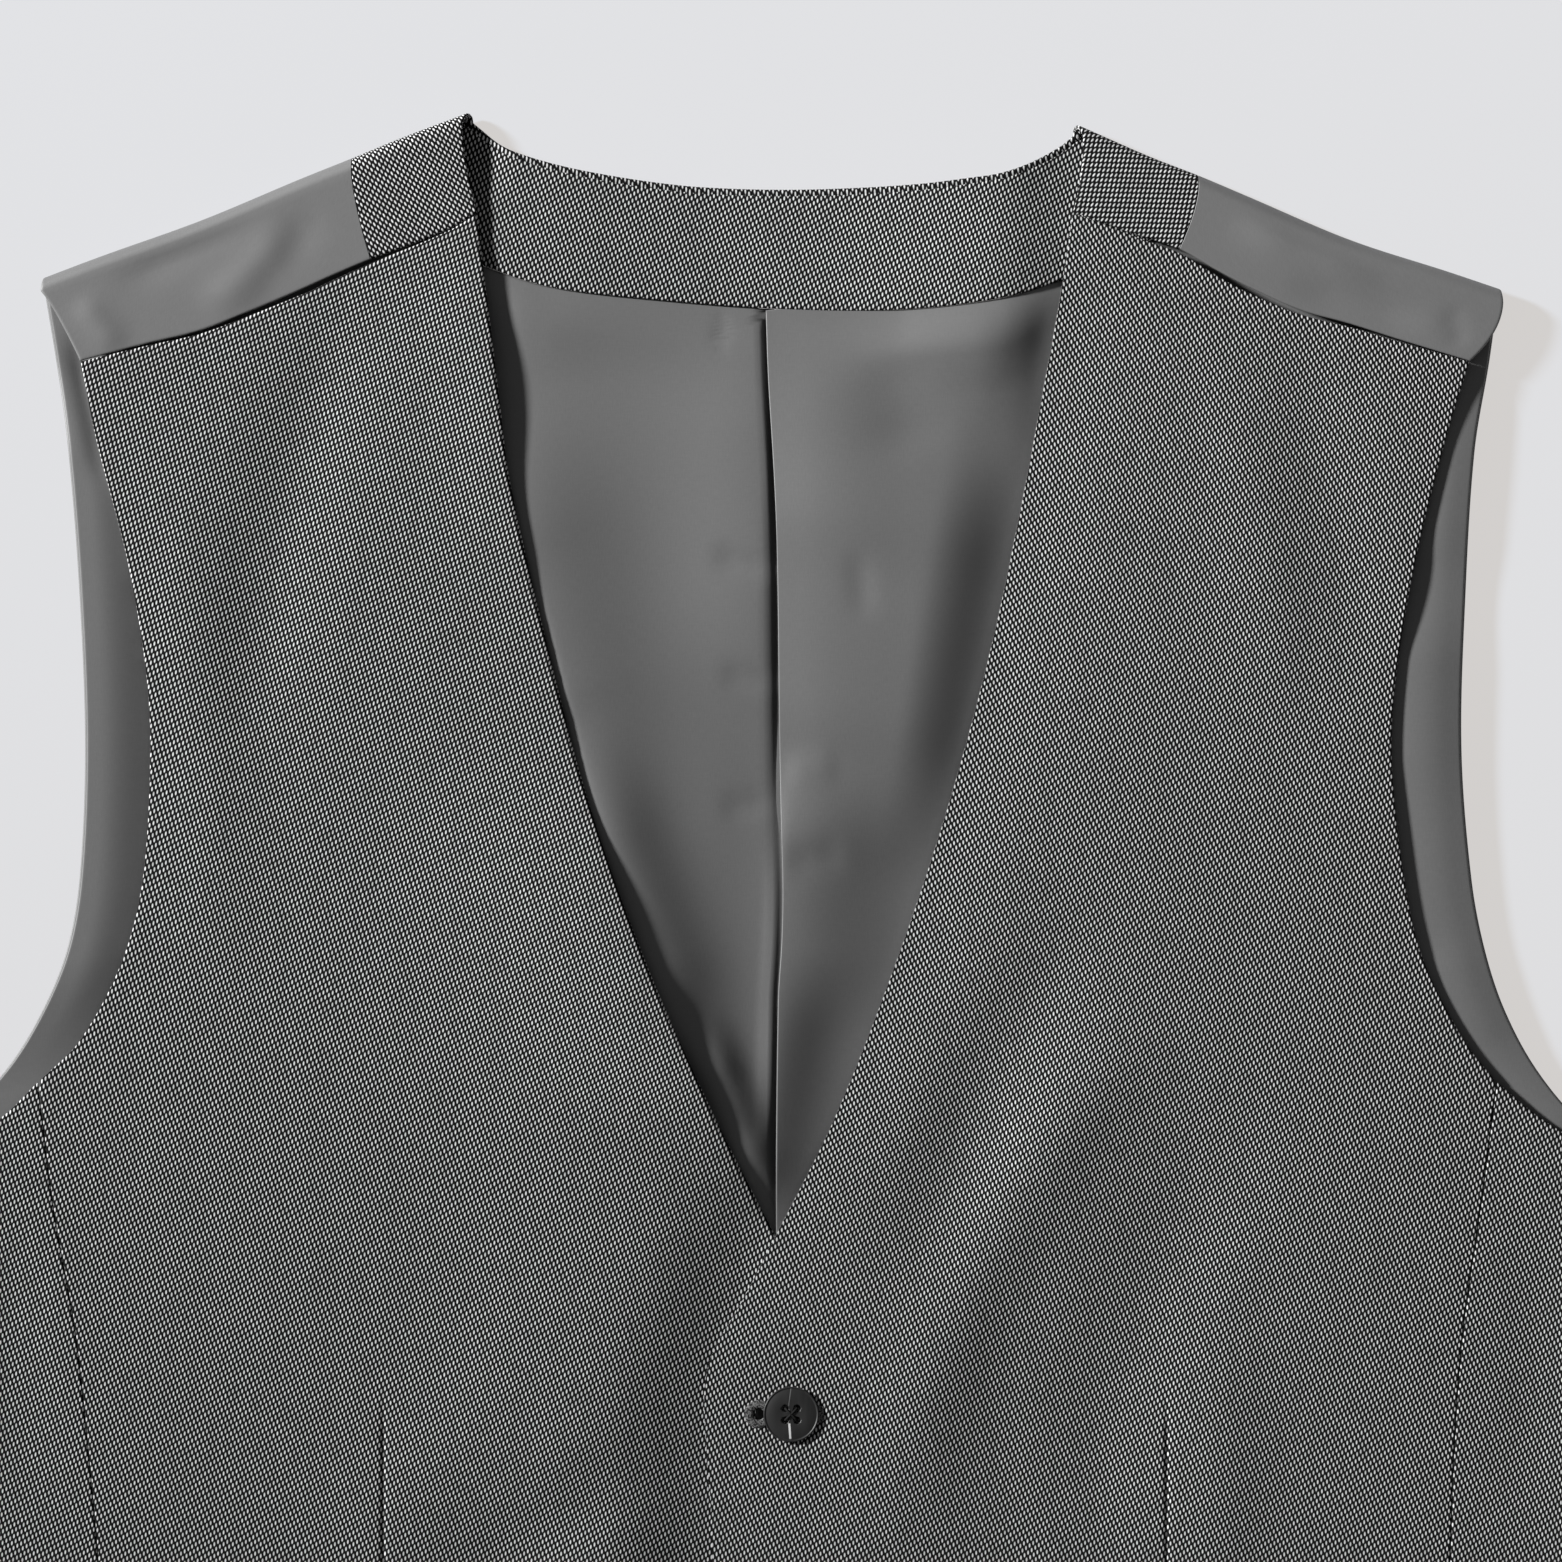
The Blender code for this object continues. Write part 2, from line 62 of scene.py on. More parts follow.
lamp = bpy.data.lights.new("key_light", "SPOT")
lamp.energy = KEY_POWER
lamp.shadow_soft_size = KEY_RADIUS
lamp.spot_size = KEY_SPREAD
lamp.spot_blend = 1.0
key_light = bpy.data.objects.new("key_light", lamp)
key_light.location = KEY_PLACE
key_light.rotation_euler = (KEY_PLACE - KEY_AIM).to_track_quat("Z", "Y").to_euler()
scene.collection.objects.link(key_light)

lens = bpy.data.cameras.new("camera")
lens.sensor_width = SENSOR_WIDTH
lens.lens = SENSOR_WIDTH * CAMERA_DISTANCE / VIEW_WIDTH
lens.clip_start = 0.05
lens.clip_end = 20.0
camera = bpy.data.objects.new("camera", lens)
scene.collection.objects.link(camera)
camera.location = VIEW_CENTRE + Vector((0.0, 0.0, CAMERA_DISTANCE))
scene.camera = camera

room = bpy.data.worlds.new("room")
room.use_nodes = True
background = room.node_tree.nodes["Background"]
background.inputs["Color"].default_value = (1.0, 1.0, 1.0, 1.0)
background.inputs["Strength"].default_value = ROOM_STRENGTH
scene.world = room


class Wire:
    """A number or colour on its way through a material; arithmetic on it adds Math nodes."""

    def __init__(self, finish, socket):
        self.finish = finish
        self.socket = socket

    def maths(self, operation, *values):
        return self.finish.node(
            "ShaderNodeMath", {"operation": operation}, dict(enumerate(values)),
        )

    def __add__(self, other):
        return self.maths("ADD", self, other)

    def __radd__(self, other):
        return self.maths("ADD", other, self)

    def __sub__(self, other):
        return self.maths("SUBTRACT", self, other)

    def __rsub__(self, other):
        return self.maths("SUBTRACT", other, self)

    def __mul__(self, other):
        return self.maths("MULTIPLY", self, other)

    def __rmul__(self, other):
        return self.maths("MULTIPLY", other, self)

    def __truediv__(self, other):
        return self.maths("DIVIDE", self, other)

    def __abs__(self):
        return self.maths("ABSOLUTE", self)

    def nearest(self):
        return self.maths("ROUND", self)


class Finish:
    """A material made node by node on its main shader, whose constants are set on its sockets."""

    def __init__(self, name, constants):
        self.material = bpy.data.materials.new(name)
        self.material.use_nodes = True
        self.tree = self.material.node_tree
        self.shader = self.tree.nodes["Principled BSDF"]
        for socket, value in constants.items():
            self.shader.inputs[socket].default_value = value

    def node(self, kind, settings, sockets, output=0):
        made = self.tree.nodes.new(kind)
        for setting, value in settings.items():
            setattr(made, setting, value)
        for socket, value in sockets.items():
            self.feed(made.inputs[socket], value)
        return Wire(self, made.outputs[output])

    def feed(self, socket, value):
        if isinstance(value, Wire):
            self.tree.links.new(value.socket, socket)
        else:
            socket.default_value = value

    def place(self):
        """Where a point lies, in metres."""
        return self.node("ShaderNodeTexCoord", {}, {}, "Object")

    def part(self, vector, axis):
        return self.node("ShaderNodeSeparateXYZ", {}, {0: vector}, axis)

    def noise(self, where, scale, detail=2.0, roughness=0.5):
        """Noise of one scale, or of three along X, Y and Z."""
        if isinstance(scale, tuple):
            where = self.node(
                "ShaderNodeVectorMath", {"operation": "MULTIPLY"}, {0: where, 1: scale}, "Vector",
            )
            scale = 1.0
        return self.node(
            "ShaderNodeTexNoise", {"noise_dimensions": "3D"},
            {"Vector": where, "Scale": scale, "Detail": detail, "Roughness": roughness}, "Fac",
        )

    def smooth_step(self, value, low, high):
        return self.node(
            "ShaderNodeMapRange", {"interpolation_type": "SMOOTHSTEP"},
            {"Value": value, "From Min": low, "From Max": high}, "Result",
        )

    def blend(self, share, start, end):
        """From one colour to another, where a single number stands for a grey."""
        start, end = ((c, c, c, 1.0) if isinstance(c, float) else c for c in (start, end))
        return self.node(
            "ShaderNodeMix", {"data_type": "RGBA"}, {"Factor": share, 6: start, 7: end}, 2,
        )

    def paint(self, colour):
        self.feed(self.shader.inputs["Base Color"], colour)

    def emboss(self, height, distance, strength):
        bump = self.node(
            "ShaderNodeBump", {},
            {"Height": height, "Distance": distance, "Strength": strength}, "Normal",
        )
        self.feed(self.shader.inputs["Normal"], bump)


def put(name, bm, finish=None):
    """Turn a bmesh into an object of the scene, with its finish."""
    mesh = bpy.data.meshes.new(name)
    bm.to_mesh(mesh)
    bm.free()
    if finish:
        mesh.materials.append(finish.material)
    made = bpy.data.objects.new(name, mesh)
    scene.collection.objects.link(made)
    return made


# The table's own faint light stands for what the studio's walls throw back on it
table_finish = Finish("table top", {
    "Roughness": 0.9,
    "Specular IOR Level": 0.1,
    "Emission Color": (0.638, 0.614, 0.595, 1.0),
    "Emission Strength": 1.0,
})
table_finish.paint(table_finish.blend(
    table_finish.noise(table_finish.place(), 9.0),
    (0.079, 0.1, 0.128, 1), (0.083, 0.104, 0.134, 1),
))
surface = bmesh.new()
bmesh.ops.create_grid(surface, x_segments=8, y_segments=8, size=TABLE_REACH)
bmesh.ops.translate(surface, verts=surface.verts[:], vec=(0.0, 0.0, TABLE_LOW))
table_top = put("table_top", surface, table_finish)


# ---- Fronts ----
# Each front is one panel of nailhead suiting over canvas and facing, pressed flat at every edge.
# The wearer's left front laps over the right one; a dart below each chest takes in the waist.
MM = 0.001
LENGTH = 650.0
RIGHT = -1
LEFT = 1
SUITING = 2.0           # from the underside of a front to its good side
SUITING_WALL = 1.8
FRONT_STEP = 3.2        # size of a front's faces, away from its edges
FRONT_LENGTH = 560.0
FRONT_GRAIN_ACROSS = 115.0      # the thread round which a front's grain turns
CHEST_LOW = 5.2         # height of the fronts' underside at the chest
BUTTON_LOW = 3.9        # along the buttons and at the hem
POINT_LOW = 0.6         # at the points
OVERLAP_RISE = 2.3      # how much higher the left front lies, where it is over the right one
SEAM_HALF = 0.08        # half of the groove between two sewn pieces
BUTTON_ACROSS = 4.3
BUTTON_FIRST_DOWN = 348.1
BUTTON_PITCH = 58.0
BUTTON_COUNT = 5
BUTTON_PULL = 0.7       # how far a button's thread draws the front in
BUTTON_PULL_REACH = 8.5
DART_ACROSS = 105.0
DART_TOP = 345.0
DART_HEM = 629.7
DART_DEPTH = 0.55
DART_HALF_WIDTH = 0.55
POINT = (55.0, 650.0)   # point of the left front, across and down
POINT_SHARE = 0.38      # share of the hem, from the middle edge to the dart, before the point
NECK_SHARE = 0.46       # share of a front's rows that lie above the V's end and the underarm
# Distances from an edge, in millimetres, at which a sheet has its finest faces: a free edge, one
# that is sewn, and the dart's line
FINE = (0.0, 0.12, 0.3, 0.6, 1.0, 1.6, 2.6)
SEAM_FINE = tuple(SEAM_HALF + distance for distance in FINE)
DART_FINE = (0.0, 0.2, 0.45, 0.8, 1.3, 2.2)

# down, across on the right, on the left
NECK_EDGE = (
    (26.2, 79.8, 79.8),
    (40.9, 78.2, 77.7),
    (54.9, 76.4, 75.4),
    (76.4, 73.8, 71.4),
    (97.8, 71.1, 67.4),
    (140.7, 61.4, 58.4),
    (183.6, 50.1, 46.9),
    (226.5, 34.8, 32.7),
    (269.3, 15.8, 15.8),
    (300.7, 0, 0),
)
CENTRE_EDGE = (
    (300.7, 0, 0),
    (319, -11, -9.4),
    (332, -18.5, -16.9),
    (343, -23, -19),
    (360, -25.6, -18.2),
    (380, -26, -16.9),
    (592, -26, -17),
)
FRONT_ARMHOLE = (
    (66, 186.2, 186.2),
    (87.1, 182, 179.8),
    (119.3, 173.7, 171.8),
    (151, 168.5, 166.5),
    (173, 167.6, 165.4),
    (205, 169.6, 168.8),
    (226.5, 175, 173.9),
    (247.9, 186.3, 184.7),
    (259.1, 197.5, 193.4),
)
SIDE_FRONT_SEAM = (
    (259.1, 197.5, 193.4),
    (292, 193.5, 189.2),
    (325.6, 187.6, 184.4),
    (357, 184.1, 182),
    (386, 181.5, 180.9),
    (450, 177, 177),
    (520, 175, 175),
    (600, 178, 178),
)
# across, down on the right, on the left
SHOULDER_SEAM = (
    (79.8, 26.2, 26.2),
    (86, 29.9, 28.1),
    (95, 33.8, 31.5),
    (108.4, 38.8, 36),
    (119, 43.3, 42),
    (127, 46.9, 46.2),
    (140.7, 52.7, 52.3),
    (154.1, 57.9, 56),
    (168.5, 61.4, 60.6),
    (186.2, 66, 66),
)
# across, down: the column of faces that runs into the dart, for one side
DART_COLUMN = (
    (128, 0), (116, 150), (DART_ACROSS, 290), (DART_ACROSS, 345),
    (DART_ACROSS, 500.0), (DART_ACROSS, DART_HEM),
)
DART_COLUMN_TOP = 127.4     # where that column crosses the shoulder seam


def ease(value, start, end):
    """Go smoothly from 0 at start to 1 at end."""
    t = np.clip((value - start) / (end - start), 0.0, 1.0)
    return t * t * (3.0 - 2.0 * t)


def mix(a, b, t):
    return a + (b - a) * t


def in_metres(across, down, up):
    """A place in the scene, from millimetres across, down from the neck point, and up."""
    return (across * MM, (LENGTH / 2 - down) * MM, up * MM)


def between(places, rows, at):
    """The values of rows at other places than theirs: smooth from row to row, and straight on
    past both ends."""
    before = np.maximum(np.arange(len(rows)) - 1, 0)
    after = np.minimum(np.arange(len(rows)) + 1, len(rows) - 1)
    slopes = (rows[after] - rows[before]) / (places[after] - places[before])[:, None]
    i = np.clip(np.searchsorted(places, at, side="right") - 1, 0, len(rows) - 2)
    span = (places[i + 1] - places[i])[..., None]
    t = (at - places[i])[..., None] / span
    near = rows[i] * (1 + 2 * t) + slopes[i] * span * t
    far = rows[i + 1] * (3 - 2 * t) + slopes[i + 1] * span * (t - 1)
    below = rows[i] + slopes[i] * span * t
    above = rows[i + 1] + slopes[i + 1] * span * (t - 1)
    inside = near * (1 - t) ** 2 + far * t * t
    return np.where(t < 0.0, below, np.where(t > 1.0, above, inside))


def curve(points):
    """A smooth line through the points, read by its share of the length, from 0 to 1."""
    points = np.array(points, float)
    travel = np.concatenate([[0.0], np.cumsum(np.hypot(*np.diff(points, axis=0).T))])

    def at(share):
        return between(travel, points, np.asarray(share, float) * travel[-1])
    at.length = travel[-1]
    return at


def edge(rows, side):
    """One side's line from a table of down, right and left, as signed across and down."""
    column = 1 if side == RIGHT else 2
    return curve([(side * row[column], row[0]) for row in rows])


def read(rows, at, column):
    """A column's value at places in the table's first column."""
    table = np.array(rows, float)
    return between(table[:, 0], table[:, [column]], at)[..., 0]


def either_side(rows, x, at):
    """The right side's column of a table where x is on the right, or else the left side's."""
    return np.where(x < 0, read(rows, at, 1), read(rows, at, 2))


def seam_down(x):
    """How far down the shoulder seam lies on the front."""
    return either_side(SHOULDER_SEAM, x, abs(x))


def joined(*legs):
    """One line from legs of (line, share of the whole), each starting where the last one ends."""
    ends = np.cumsum([0.0] + [share for _, share in legs])

    def at(share):
        share = np.asarray(share, float)
        place = np.zeros(share.shape + (2,))
        for (line, _), low, high in zip(legs, ends, ends[1:]):
            inside = (share >= low) & (share <= high + 1e-9)
            place[inside] = line(np.clip((share[inside] - low) / (high - low), 0.0, 1.0))
        return place
    return at


def straight(start, end):
    start, end = np.array(start, float), np.array(end, float)
    return lambda share: mix(start, end, np.asarray(share, float)[..., None])


def line_across(depth, start, end):
    """The line between two places across that lies as far down as depth gives."""
    def at(share):
        x = mix(start, end, share)
        return np.stack([x, depth(x)], axis=-1)
    return at


def stretch(line, start, end):
    """The part of a line between two shares of its length."""
    return lambda share: line(mix(start, end, share))


def stations(length, step, first=FINE, last=FINE):
    """Shares of a length: fine near both ends, and even steps of about that size between them."""
    length = np.asarray(length, float)[..., None]
    low, high = first[-1], last[-1]
    count = max(int(round((float(length.max()) - low - high) / step)), 2)
    middle = low + (length - low - high) * np.arange(1, count) / count
    start = np.broadcast_to(np.array(first), length.shape[:-1] + (len(first),))
    end = length - np.array(last[::-1])
    return np.concatenate([start, middle, end], axis=-1) / length


def patch(inner, outer, top, bottom, u, v):
    """Points between an inner and an outer line that also follow the top and bottom lines."""
    u, v = u[..., None], np.broadcast_to(v[:, None], u.shape)[..., None]
    rails = mix(inner(v[..., 0]), outer(v[..., 0]), u)
    ends = mix(top(u[..., 0]), bottom(u[..., 0]), v)
    corners = mix(mix(top(0.0), top(1.0), u), mix(bottom(0.0), bottom(1.0), u), v)
    return rails + ends - corners


def width_of(inner, outer, v):
    return np.hypot(*np.moveaxis(outer(v) - inner(v), -1, 0))


def folds(x, down, creases):
    """Soft ridges, and troughs where rise is below 0. Each has its upper and its lower end, how far
    its middle bows towards +X, its width on the -X and on the +X side, and its rise."""
    height = np.zeros(np.shape(x))
    for x0, down0, x1, down1, bow, width_right, width_left, rise in creases:
        run_x, run_down = x1 - x0, down1 - down0
        length = math.hypot(run_x, run_down)
        along = ((x - x0) * run_x + (down - down0) * run_down) / length ** 2
        aside = ((x - x0) * run_down - (down - down0) * run_x) / length
        aside = aside - bow * 4 * along * (1 - along)
        fade = ease(along, -0.15, 0.3) * (1 - ease(along, 0.7, 1.15))
        width = np.where(aside < 0, width_right, width_left)
        height = height + rise * np.exp(-(aside / width) ** 2) * fade
    return height


# A sheet's top, bottom, first and last edge, each with the row or column next to it
RIMS = (
    (np.s_[:1], np.s_[1:2]), (np.s_[-1:], np.s_[-2:-1]),
    (np.s_[:, :1], np.s_[:, 1:2]), (np.s_[:, -1:], np.s_[:, -2:-1]),
)
EDGE_THIN = 0.15        # share of the wall that is left at a rounded edge


def shell(name, outer, wall, grain, finish, facing, rims):
    """A cloth sheet as a thin closed shell. Its good side is outer, in millimetres as across, down
    and up, and faces up (1) or down (-1) at the first corner. The wall thins to a round edge within
    the distance that rims gives for its top, bottom, first and last edge, and the threads in grain
    run on round every edge."""
    run_down = np.gradient(outer, axis=0)
    run_across = np.gradient(outer, axis=1)
    normal = np.cross(run_across, run_down)
    normal /= np.linalg.norm(normal, axis=-1, keepdims=True)
    if normal[0, 0, 2] * facing < 0:
        normal = -normal
    thickness = np.ones(outer.shape[:2])
    grain_inside = np.array(grain)
    for (rim, next_in), radius in zip(RIMS, rims):
        if radius:
            share = np.clip(np.linalg.norm(outer - outer[rim], axis=-1) / radius, 0.0, 1.0)
            thickness = np.minimum(thickness, mix(EDGE_THIN, 1.0, np.sqrt(1 - (1 - share) ** 2)))
        step = grain[rim] - grain[next_in]
        step = step / np.maximum(np.linalg.norm(step, axis=-1, keepdims=True), 1e-6)
        grain_inside[rim] += wall * step
    middle = outer - normal * wall / 2
    half = normal * (wall / 2 * thickness)[..., None]
    sides = (middle + half, middle - half)
    grains = (grain, grain_inside)

    rows, columns = outer.shape[:2]
    bm = bmesh.new()
    bmesh.ops.create_grid(bm, x_segments=columns - 1, y_segments=rows - 1, size=0.5)
    turned = bmesh.ops.extrude_face_region(bm, geom=bm.faces[:])["geom"]
    inner_side = {vert for vert in turned if isinstance(vert, bmesh.types.BMVert)}
    threads = bm.loops.layers.uv.new("grain")
    place = {}
    for vert in bm.verts:
        i = round((vert.co.y + 0.5) * (rows - 1))
        j = round((vert.co.x + 0.5) * (columns - 1))
        place[vert] = (i, j)
        vert.co = in_metres(*sides[vert in inner_side][i, j])
    for face in bm.faces:
        for loop in face.loops:
            loop[threads].uv = grains[loop.vert in inner_side][place[loop.vert]] * MM
        face.smooth = True
    if bm.calc_volume(signed=True) < 0:
        bmesh.ops.reverse_faces(bm, faces=bm.faces[:])
    piece = put(name, bm, finish)
    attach(piece, "root")
    return piece


def turned_grain(x, down, pivot, turns):
    """Thread directions of a panel that hangs a little off the straight: across and along the
    grain, from a table of down and degrees clockwise."""
    places = np.linspace(0.0, 700.0, 701)
    angle = np.radians(np.interp(places, *np.array(turns, float).T))
    drift = np.concatenate([[0.0], np.cumsum((angle[1:] + angle[:-1]) / 2)])
    here = np.interp(down, places, angle)
    across = x - pivot + np.interp(down, places, drift)
    return np.stack([across, down - here * (x - pivot)], axis=-1)


def front_low(x, down):
    """Height of the underside of the fronts, where nothing laps over anything."""
    middle = (1 - ease(abs(x - BUTTON_ACROSS), 28, 75)) * ease(down, 200, 290)
    low = mix(CHEST_LOW, BUTTON_LOW, middle)
    low = mix(low, BUTTON_LOW, ease(down, 500, 580))
    return mix(low, POINT_LOW, ease(down, 616, 658))


def overlap(x, down):
    """Extra height of the left front, which lies on the right one along the middle."""
    lapped = (1 - ease(x, 28, 66)) * ease(down, 225, 285) * (1 - ease(down, 618, 652))
    return OVERLAP_RISE * lapped


def button_pull(x, down):
    """How far the fronts are drawn in round each button by its thread."""
    nearest = np.clip(np.round((down - BUTTON_FIRST_DOWN) / BUTTON_PITCH), 0, BUTTON_COUNT - 1)
    away = np.hypot(x - BUTTON_ACROSS, down - BUTTON_FIRST_DOWN - BUTTON_PITCH * nearest)
    return -BUTTON_PULL * np.exp(-(away / BUTTON_PULL_REACH) ** 2)


def dart(x, down, side):
    """The dart's sewn line, a narrow groove from below the chest to the hem."""
    groove = np.exp(-((x - side * DART_ACROSS) / DART_HALF_WIDTH) ** 2)
    return -DART_DEPTH * groove * ease(down, DART_TOP - 6, DART_TOP + 10)


# How each neck edge stands up from its front, or lies down
# down where it begins, is full, fades and ends, width, rise
NECK_ROLLS = {
    RIGHT: ((32, 52, 108, 134, 14.0, 1.1), (165, 215, 262, 296, 34.0, 4.4)),
    LEFT: ((36, 70, 262, 300, 14.0, -0.9),),
}
# upper end across and down, lower end across and down, bow, width on -X, width on +X, rise
RIGHT_FRONT_FOLDS = (
    (-114, 50, -141, 165, -4, 12, 12, -1.5),
    (-160, 95, -150, 230, 2, 10, 10, 0.8),
    (2, 285, -16, 345, 0, 15, 8, -2.5),
    (-15, 335, -15, 410, 0, 17, 8, -2.6),
    (-28, 285, -46, 345, 0, 26, 15, 1.6),
    (-46, 335, -46, 415, 0, 26, 16, 2.6),
    (-36, 361, -88, 402, 0, 11, 11, -1.6),
    (-66, 330, -108, 385, 0, 13, 13, 0.8),
)
LEFT_FRONT_FOLDS = (
    (84, 215, 37, 312, -5, 11, 11, -1.2),
    (98, 245, 34, 370, -9, 12, 12, 2),
    (124, 272, 80, 392, -7, 17, 13, -1.5),
    (140, 60, 154, 150, 3, 11, 11, -0.8),
    (121, 70, 136, 160, 2, 9, 9, 0.6),
    (121, 330, 118, 400, 0, 10, 10, 0.9),
)

# The weave, in metres: threads across and along, and the dash that each float shows
END_SPACING = 0.000497
PICK_SPACING = 0.000631
DASH_HALF_WIDTH = 0.00025
DASH_HALF_LENGTH = 0.00061
DASH_LEAN = math.tan(math.radians(3))


def nailhead(name):
    """Worsted nailhead: light yarn floats in short leaning dashes over a near-black ground."""
    finish = Finish(name, {"Roughness": 0.9, "Specular IOR Level": 0.06})
    grain = finish.node("ShaderNodeUVMap", {"uv_map": "grain"}, {}, "UV")
    end = finish.part(grain, "X") / END_SPACING
    pick = finish.part(grain, "Y") / PICK_SPACING
    # The dashes repeat over five threads; first and second count them along their two slanting rows
    first = (2 * end - pick) / 5
    second = (end + 2 * pick) / 5
    off_first = first - first.nearest()
    off_second = second - second.nearest()
    aside = (2 * off_first + off_second) * END_SPACING
    ahead = (2 * off_second - off_first) * PICK_SPACING
    leaned = (aside + ahead * DASH_LEAN) / DASH_HALF_WIDTH
    ahead = ahead / DASH_HALF_LENGTH
    inside = leaned * leaned + ahead * ahead
    dash = finish.smooth_step(inside, 1.25, 0.35)
    cell = finish.node("ShaderNodeCombineXYZ", {}, {0: first.nearest(), 1: second.nearest()})
    lot = finish.node("ShaderNodeTexWhiteNoise", {"noise_dimensions": "2D"}, {"Vector": cell})
    yarn = finish.noise(grain, (900.0, 70.0, 1.0))
    slub = finish.noise(grain, (150.0, 12.0, 1.0), 3.0, 0.6)
    fuzz = finish.noise(grain, (2600.0, 2600.0, 1.0), 2.0, 0.7)
    tone = 0.72 + 0.32 * lot + 0.3 * (slub - 0.5)
    light = finish.blend(tone, 0.12, 0.67)
    ground = finish.blend(fuzz, 0.001, 0.012)
    finish.paint(finish.blend(dash, ground, light))
    finish.emboss(dash + 0.35 * yarn + 0.25 * fuzz, 0.00010, 0.6)
    return finish


suiting = nailhead("nailhead suiting")

# down, degrees that the grain is turned clockwise
RIGHT_FRONT_TURNS = ((0, 8.0), (103, 6.5), (210, 3.0), (264, 0.0), (700, 0.0))
LEFT_FRONT_TURNS = ((0, -8.0), (103, -7.0), (156, -5.0), (210, -5.0), (300, -3.0), (700, -2.0))


def front_pattern(side):
    """Points of a front from the shoulder seam to the hem, with a column along the dart line."""
    column = curve([(side * x, down) for x, down in DART_COLUMN])
    column_top = seam_down(side * DART_COLUMN_TOP)
    middle = stretch(column, float(column_top) / column.length, 1.0)
    inner = joined((edge(NECK_EDGE, side), NECK_SHARE), (edge(CENTRE_EDGE, side), 1 - NECK_SHARE))
    outer = joined(
        (edge(FRONT_ARMHOLE, side), NECK_SHARE), (edge(SIDE_FRONT_SEAM, side), 1 - NECK_SHARE),
    )

    inner_top, middle_top, outer_top = (line(0.0)[0] for line in (inner, middle, outer))
    inner_end, middle_end, outer_end = (line(1.0) for line in (inner, middle, outer))
    v = stations(FRONT_LENGTH, FRONT_STEP, SEAM_FINE, FINE)

    u = stations(width_of(inner, middle, v), FRONT_STEP, FINE, DART_FINE)
    point = (side * POINT[0], POINT[1])
    point_share = u[-1, np.argmin(abs(u[-1] - POINT_SHARE))]
    hem = joined(
        (straight(inner_end, point), point_share), (straight(point, middle_end), 1 - point_share),
    )
    seam = line_across(seam_down, inner_top, middle_top)
    inside = patch(inner, middle, seam, hem, u, v)

    u = stations(width_of(middle, outer, v), FRONT_STEP, DART_FINE, SEAM_FINE)
    seam = line_across(seam_down, middle_top, outer_top)
    outside = patch(middle, outer, seam, straight(middle_end, outer_end), u, v)
    return np.concatenate([inside, outside[:, 1:]], axis=1)


def front_height(x, down, side, creases):
    """Height of a front's good side, without the dart and the roll of its neck edge."""
    height = front_low(x, down) + SUITING + folds(x, down, creases) + button_pull(x, down)
    return height + overlap(x, down) if side == LEFT else height


for side, name, creases, turns, neck_rim in (
    (RIGHT, "front_right", RIGHT_FRONT_FOLDS, RIGHT_FRONT_TURNS, 1.1),
    (LEFT, "front_left", LEFT_FRONT_FOLDS, LEFT_FRONT_TURNS, 0.0),
):
    flat = front_pattern(side)
    x, down = flat[..., 0], flat[..., 1]
    height = front_height(x, down, side, creases) + dart(x, down, side)
    from_neck = np.linalg.norm(flat - flat[:, :1], axis=-1)
    for begin, full, fade, end, width, rise in NECK_ROLLS[side]:
        roll = ease(down, begin, full) * (1 - ease(down, fade, end))
        height = height + rise * np.exp(-(from_neck / width) ** 2) * roll
    grain = turned_grain(x, down, side * FRONT_GRAIN_ACROSS, turns)
    piece = shell(
        name, np.dstack([x, down, height]), SUITING_WALL, grain, suiting, 1,
        (0.5, 1.1, neck_rim, 0.3),
    )
    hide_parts(name)


# ---- Side fronts ----
# A narrower suiting panel beyond each side front seam, from the armhole to the hem. It turns down
# round the side of the garment and meets the back at its edge.
SIDE_RADIUS = 3.2
SIDE_LENGTH = 325.0
SIDE_GAP = 1.1          # from the turned edge down to the table
SIDE_GRAIN_ACROSS = 215.0
ROUND_COLUMNS = 8       # columns of faces round the turn
TURNED_DOWN = np.array([0.5, 0.8, 1.0])     # columns on the turned part, as shares of it
# down, across
SIDE_EDGE = (
    (289.5, 250), (350, 242.5), (410, 234.5), (460, 231.5), (520, 234), (577, 240),
)
# down, across on the right, on the left
UNDERARM = (
    (259.1, 197.5, 193.4),
    (268.4, 207.7, 205.3),
    (276.5, 221, 219.5),
    (284, 236, 235.5),
    (289.5, 250, 250),
)
# the same columns as the fronts' folds, for either side
SIDE_FOLDS = (
    (206, 300, 199, 372, 1, 9, 9, -0.7),
    (222, 330, 214, 430, 2, 8, 8, 0.8),
    (228, 395, 196, 448, -3, 8, 8, -0.9),
    (208, 470, 202, 560, 1, 9, 9, 0.7),
)


def side_line(side, inset):
    """The side from the underarm to the hem, moved inwards by the inset."""
    def at(share):
        down = mix(SIDE_EDGE[0][0], SIDE_EDGE[-1][0], share)
        return np.stack([side * (read(SIDE_EDGE, down, 1) - inset), down], axis=-1)
    return at


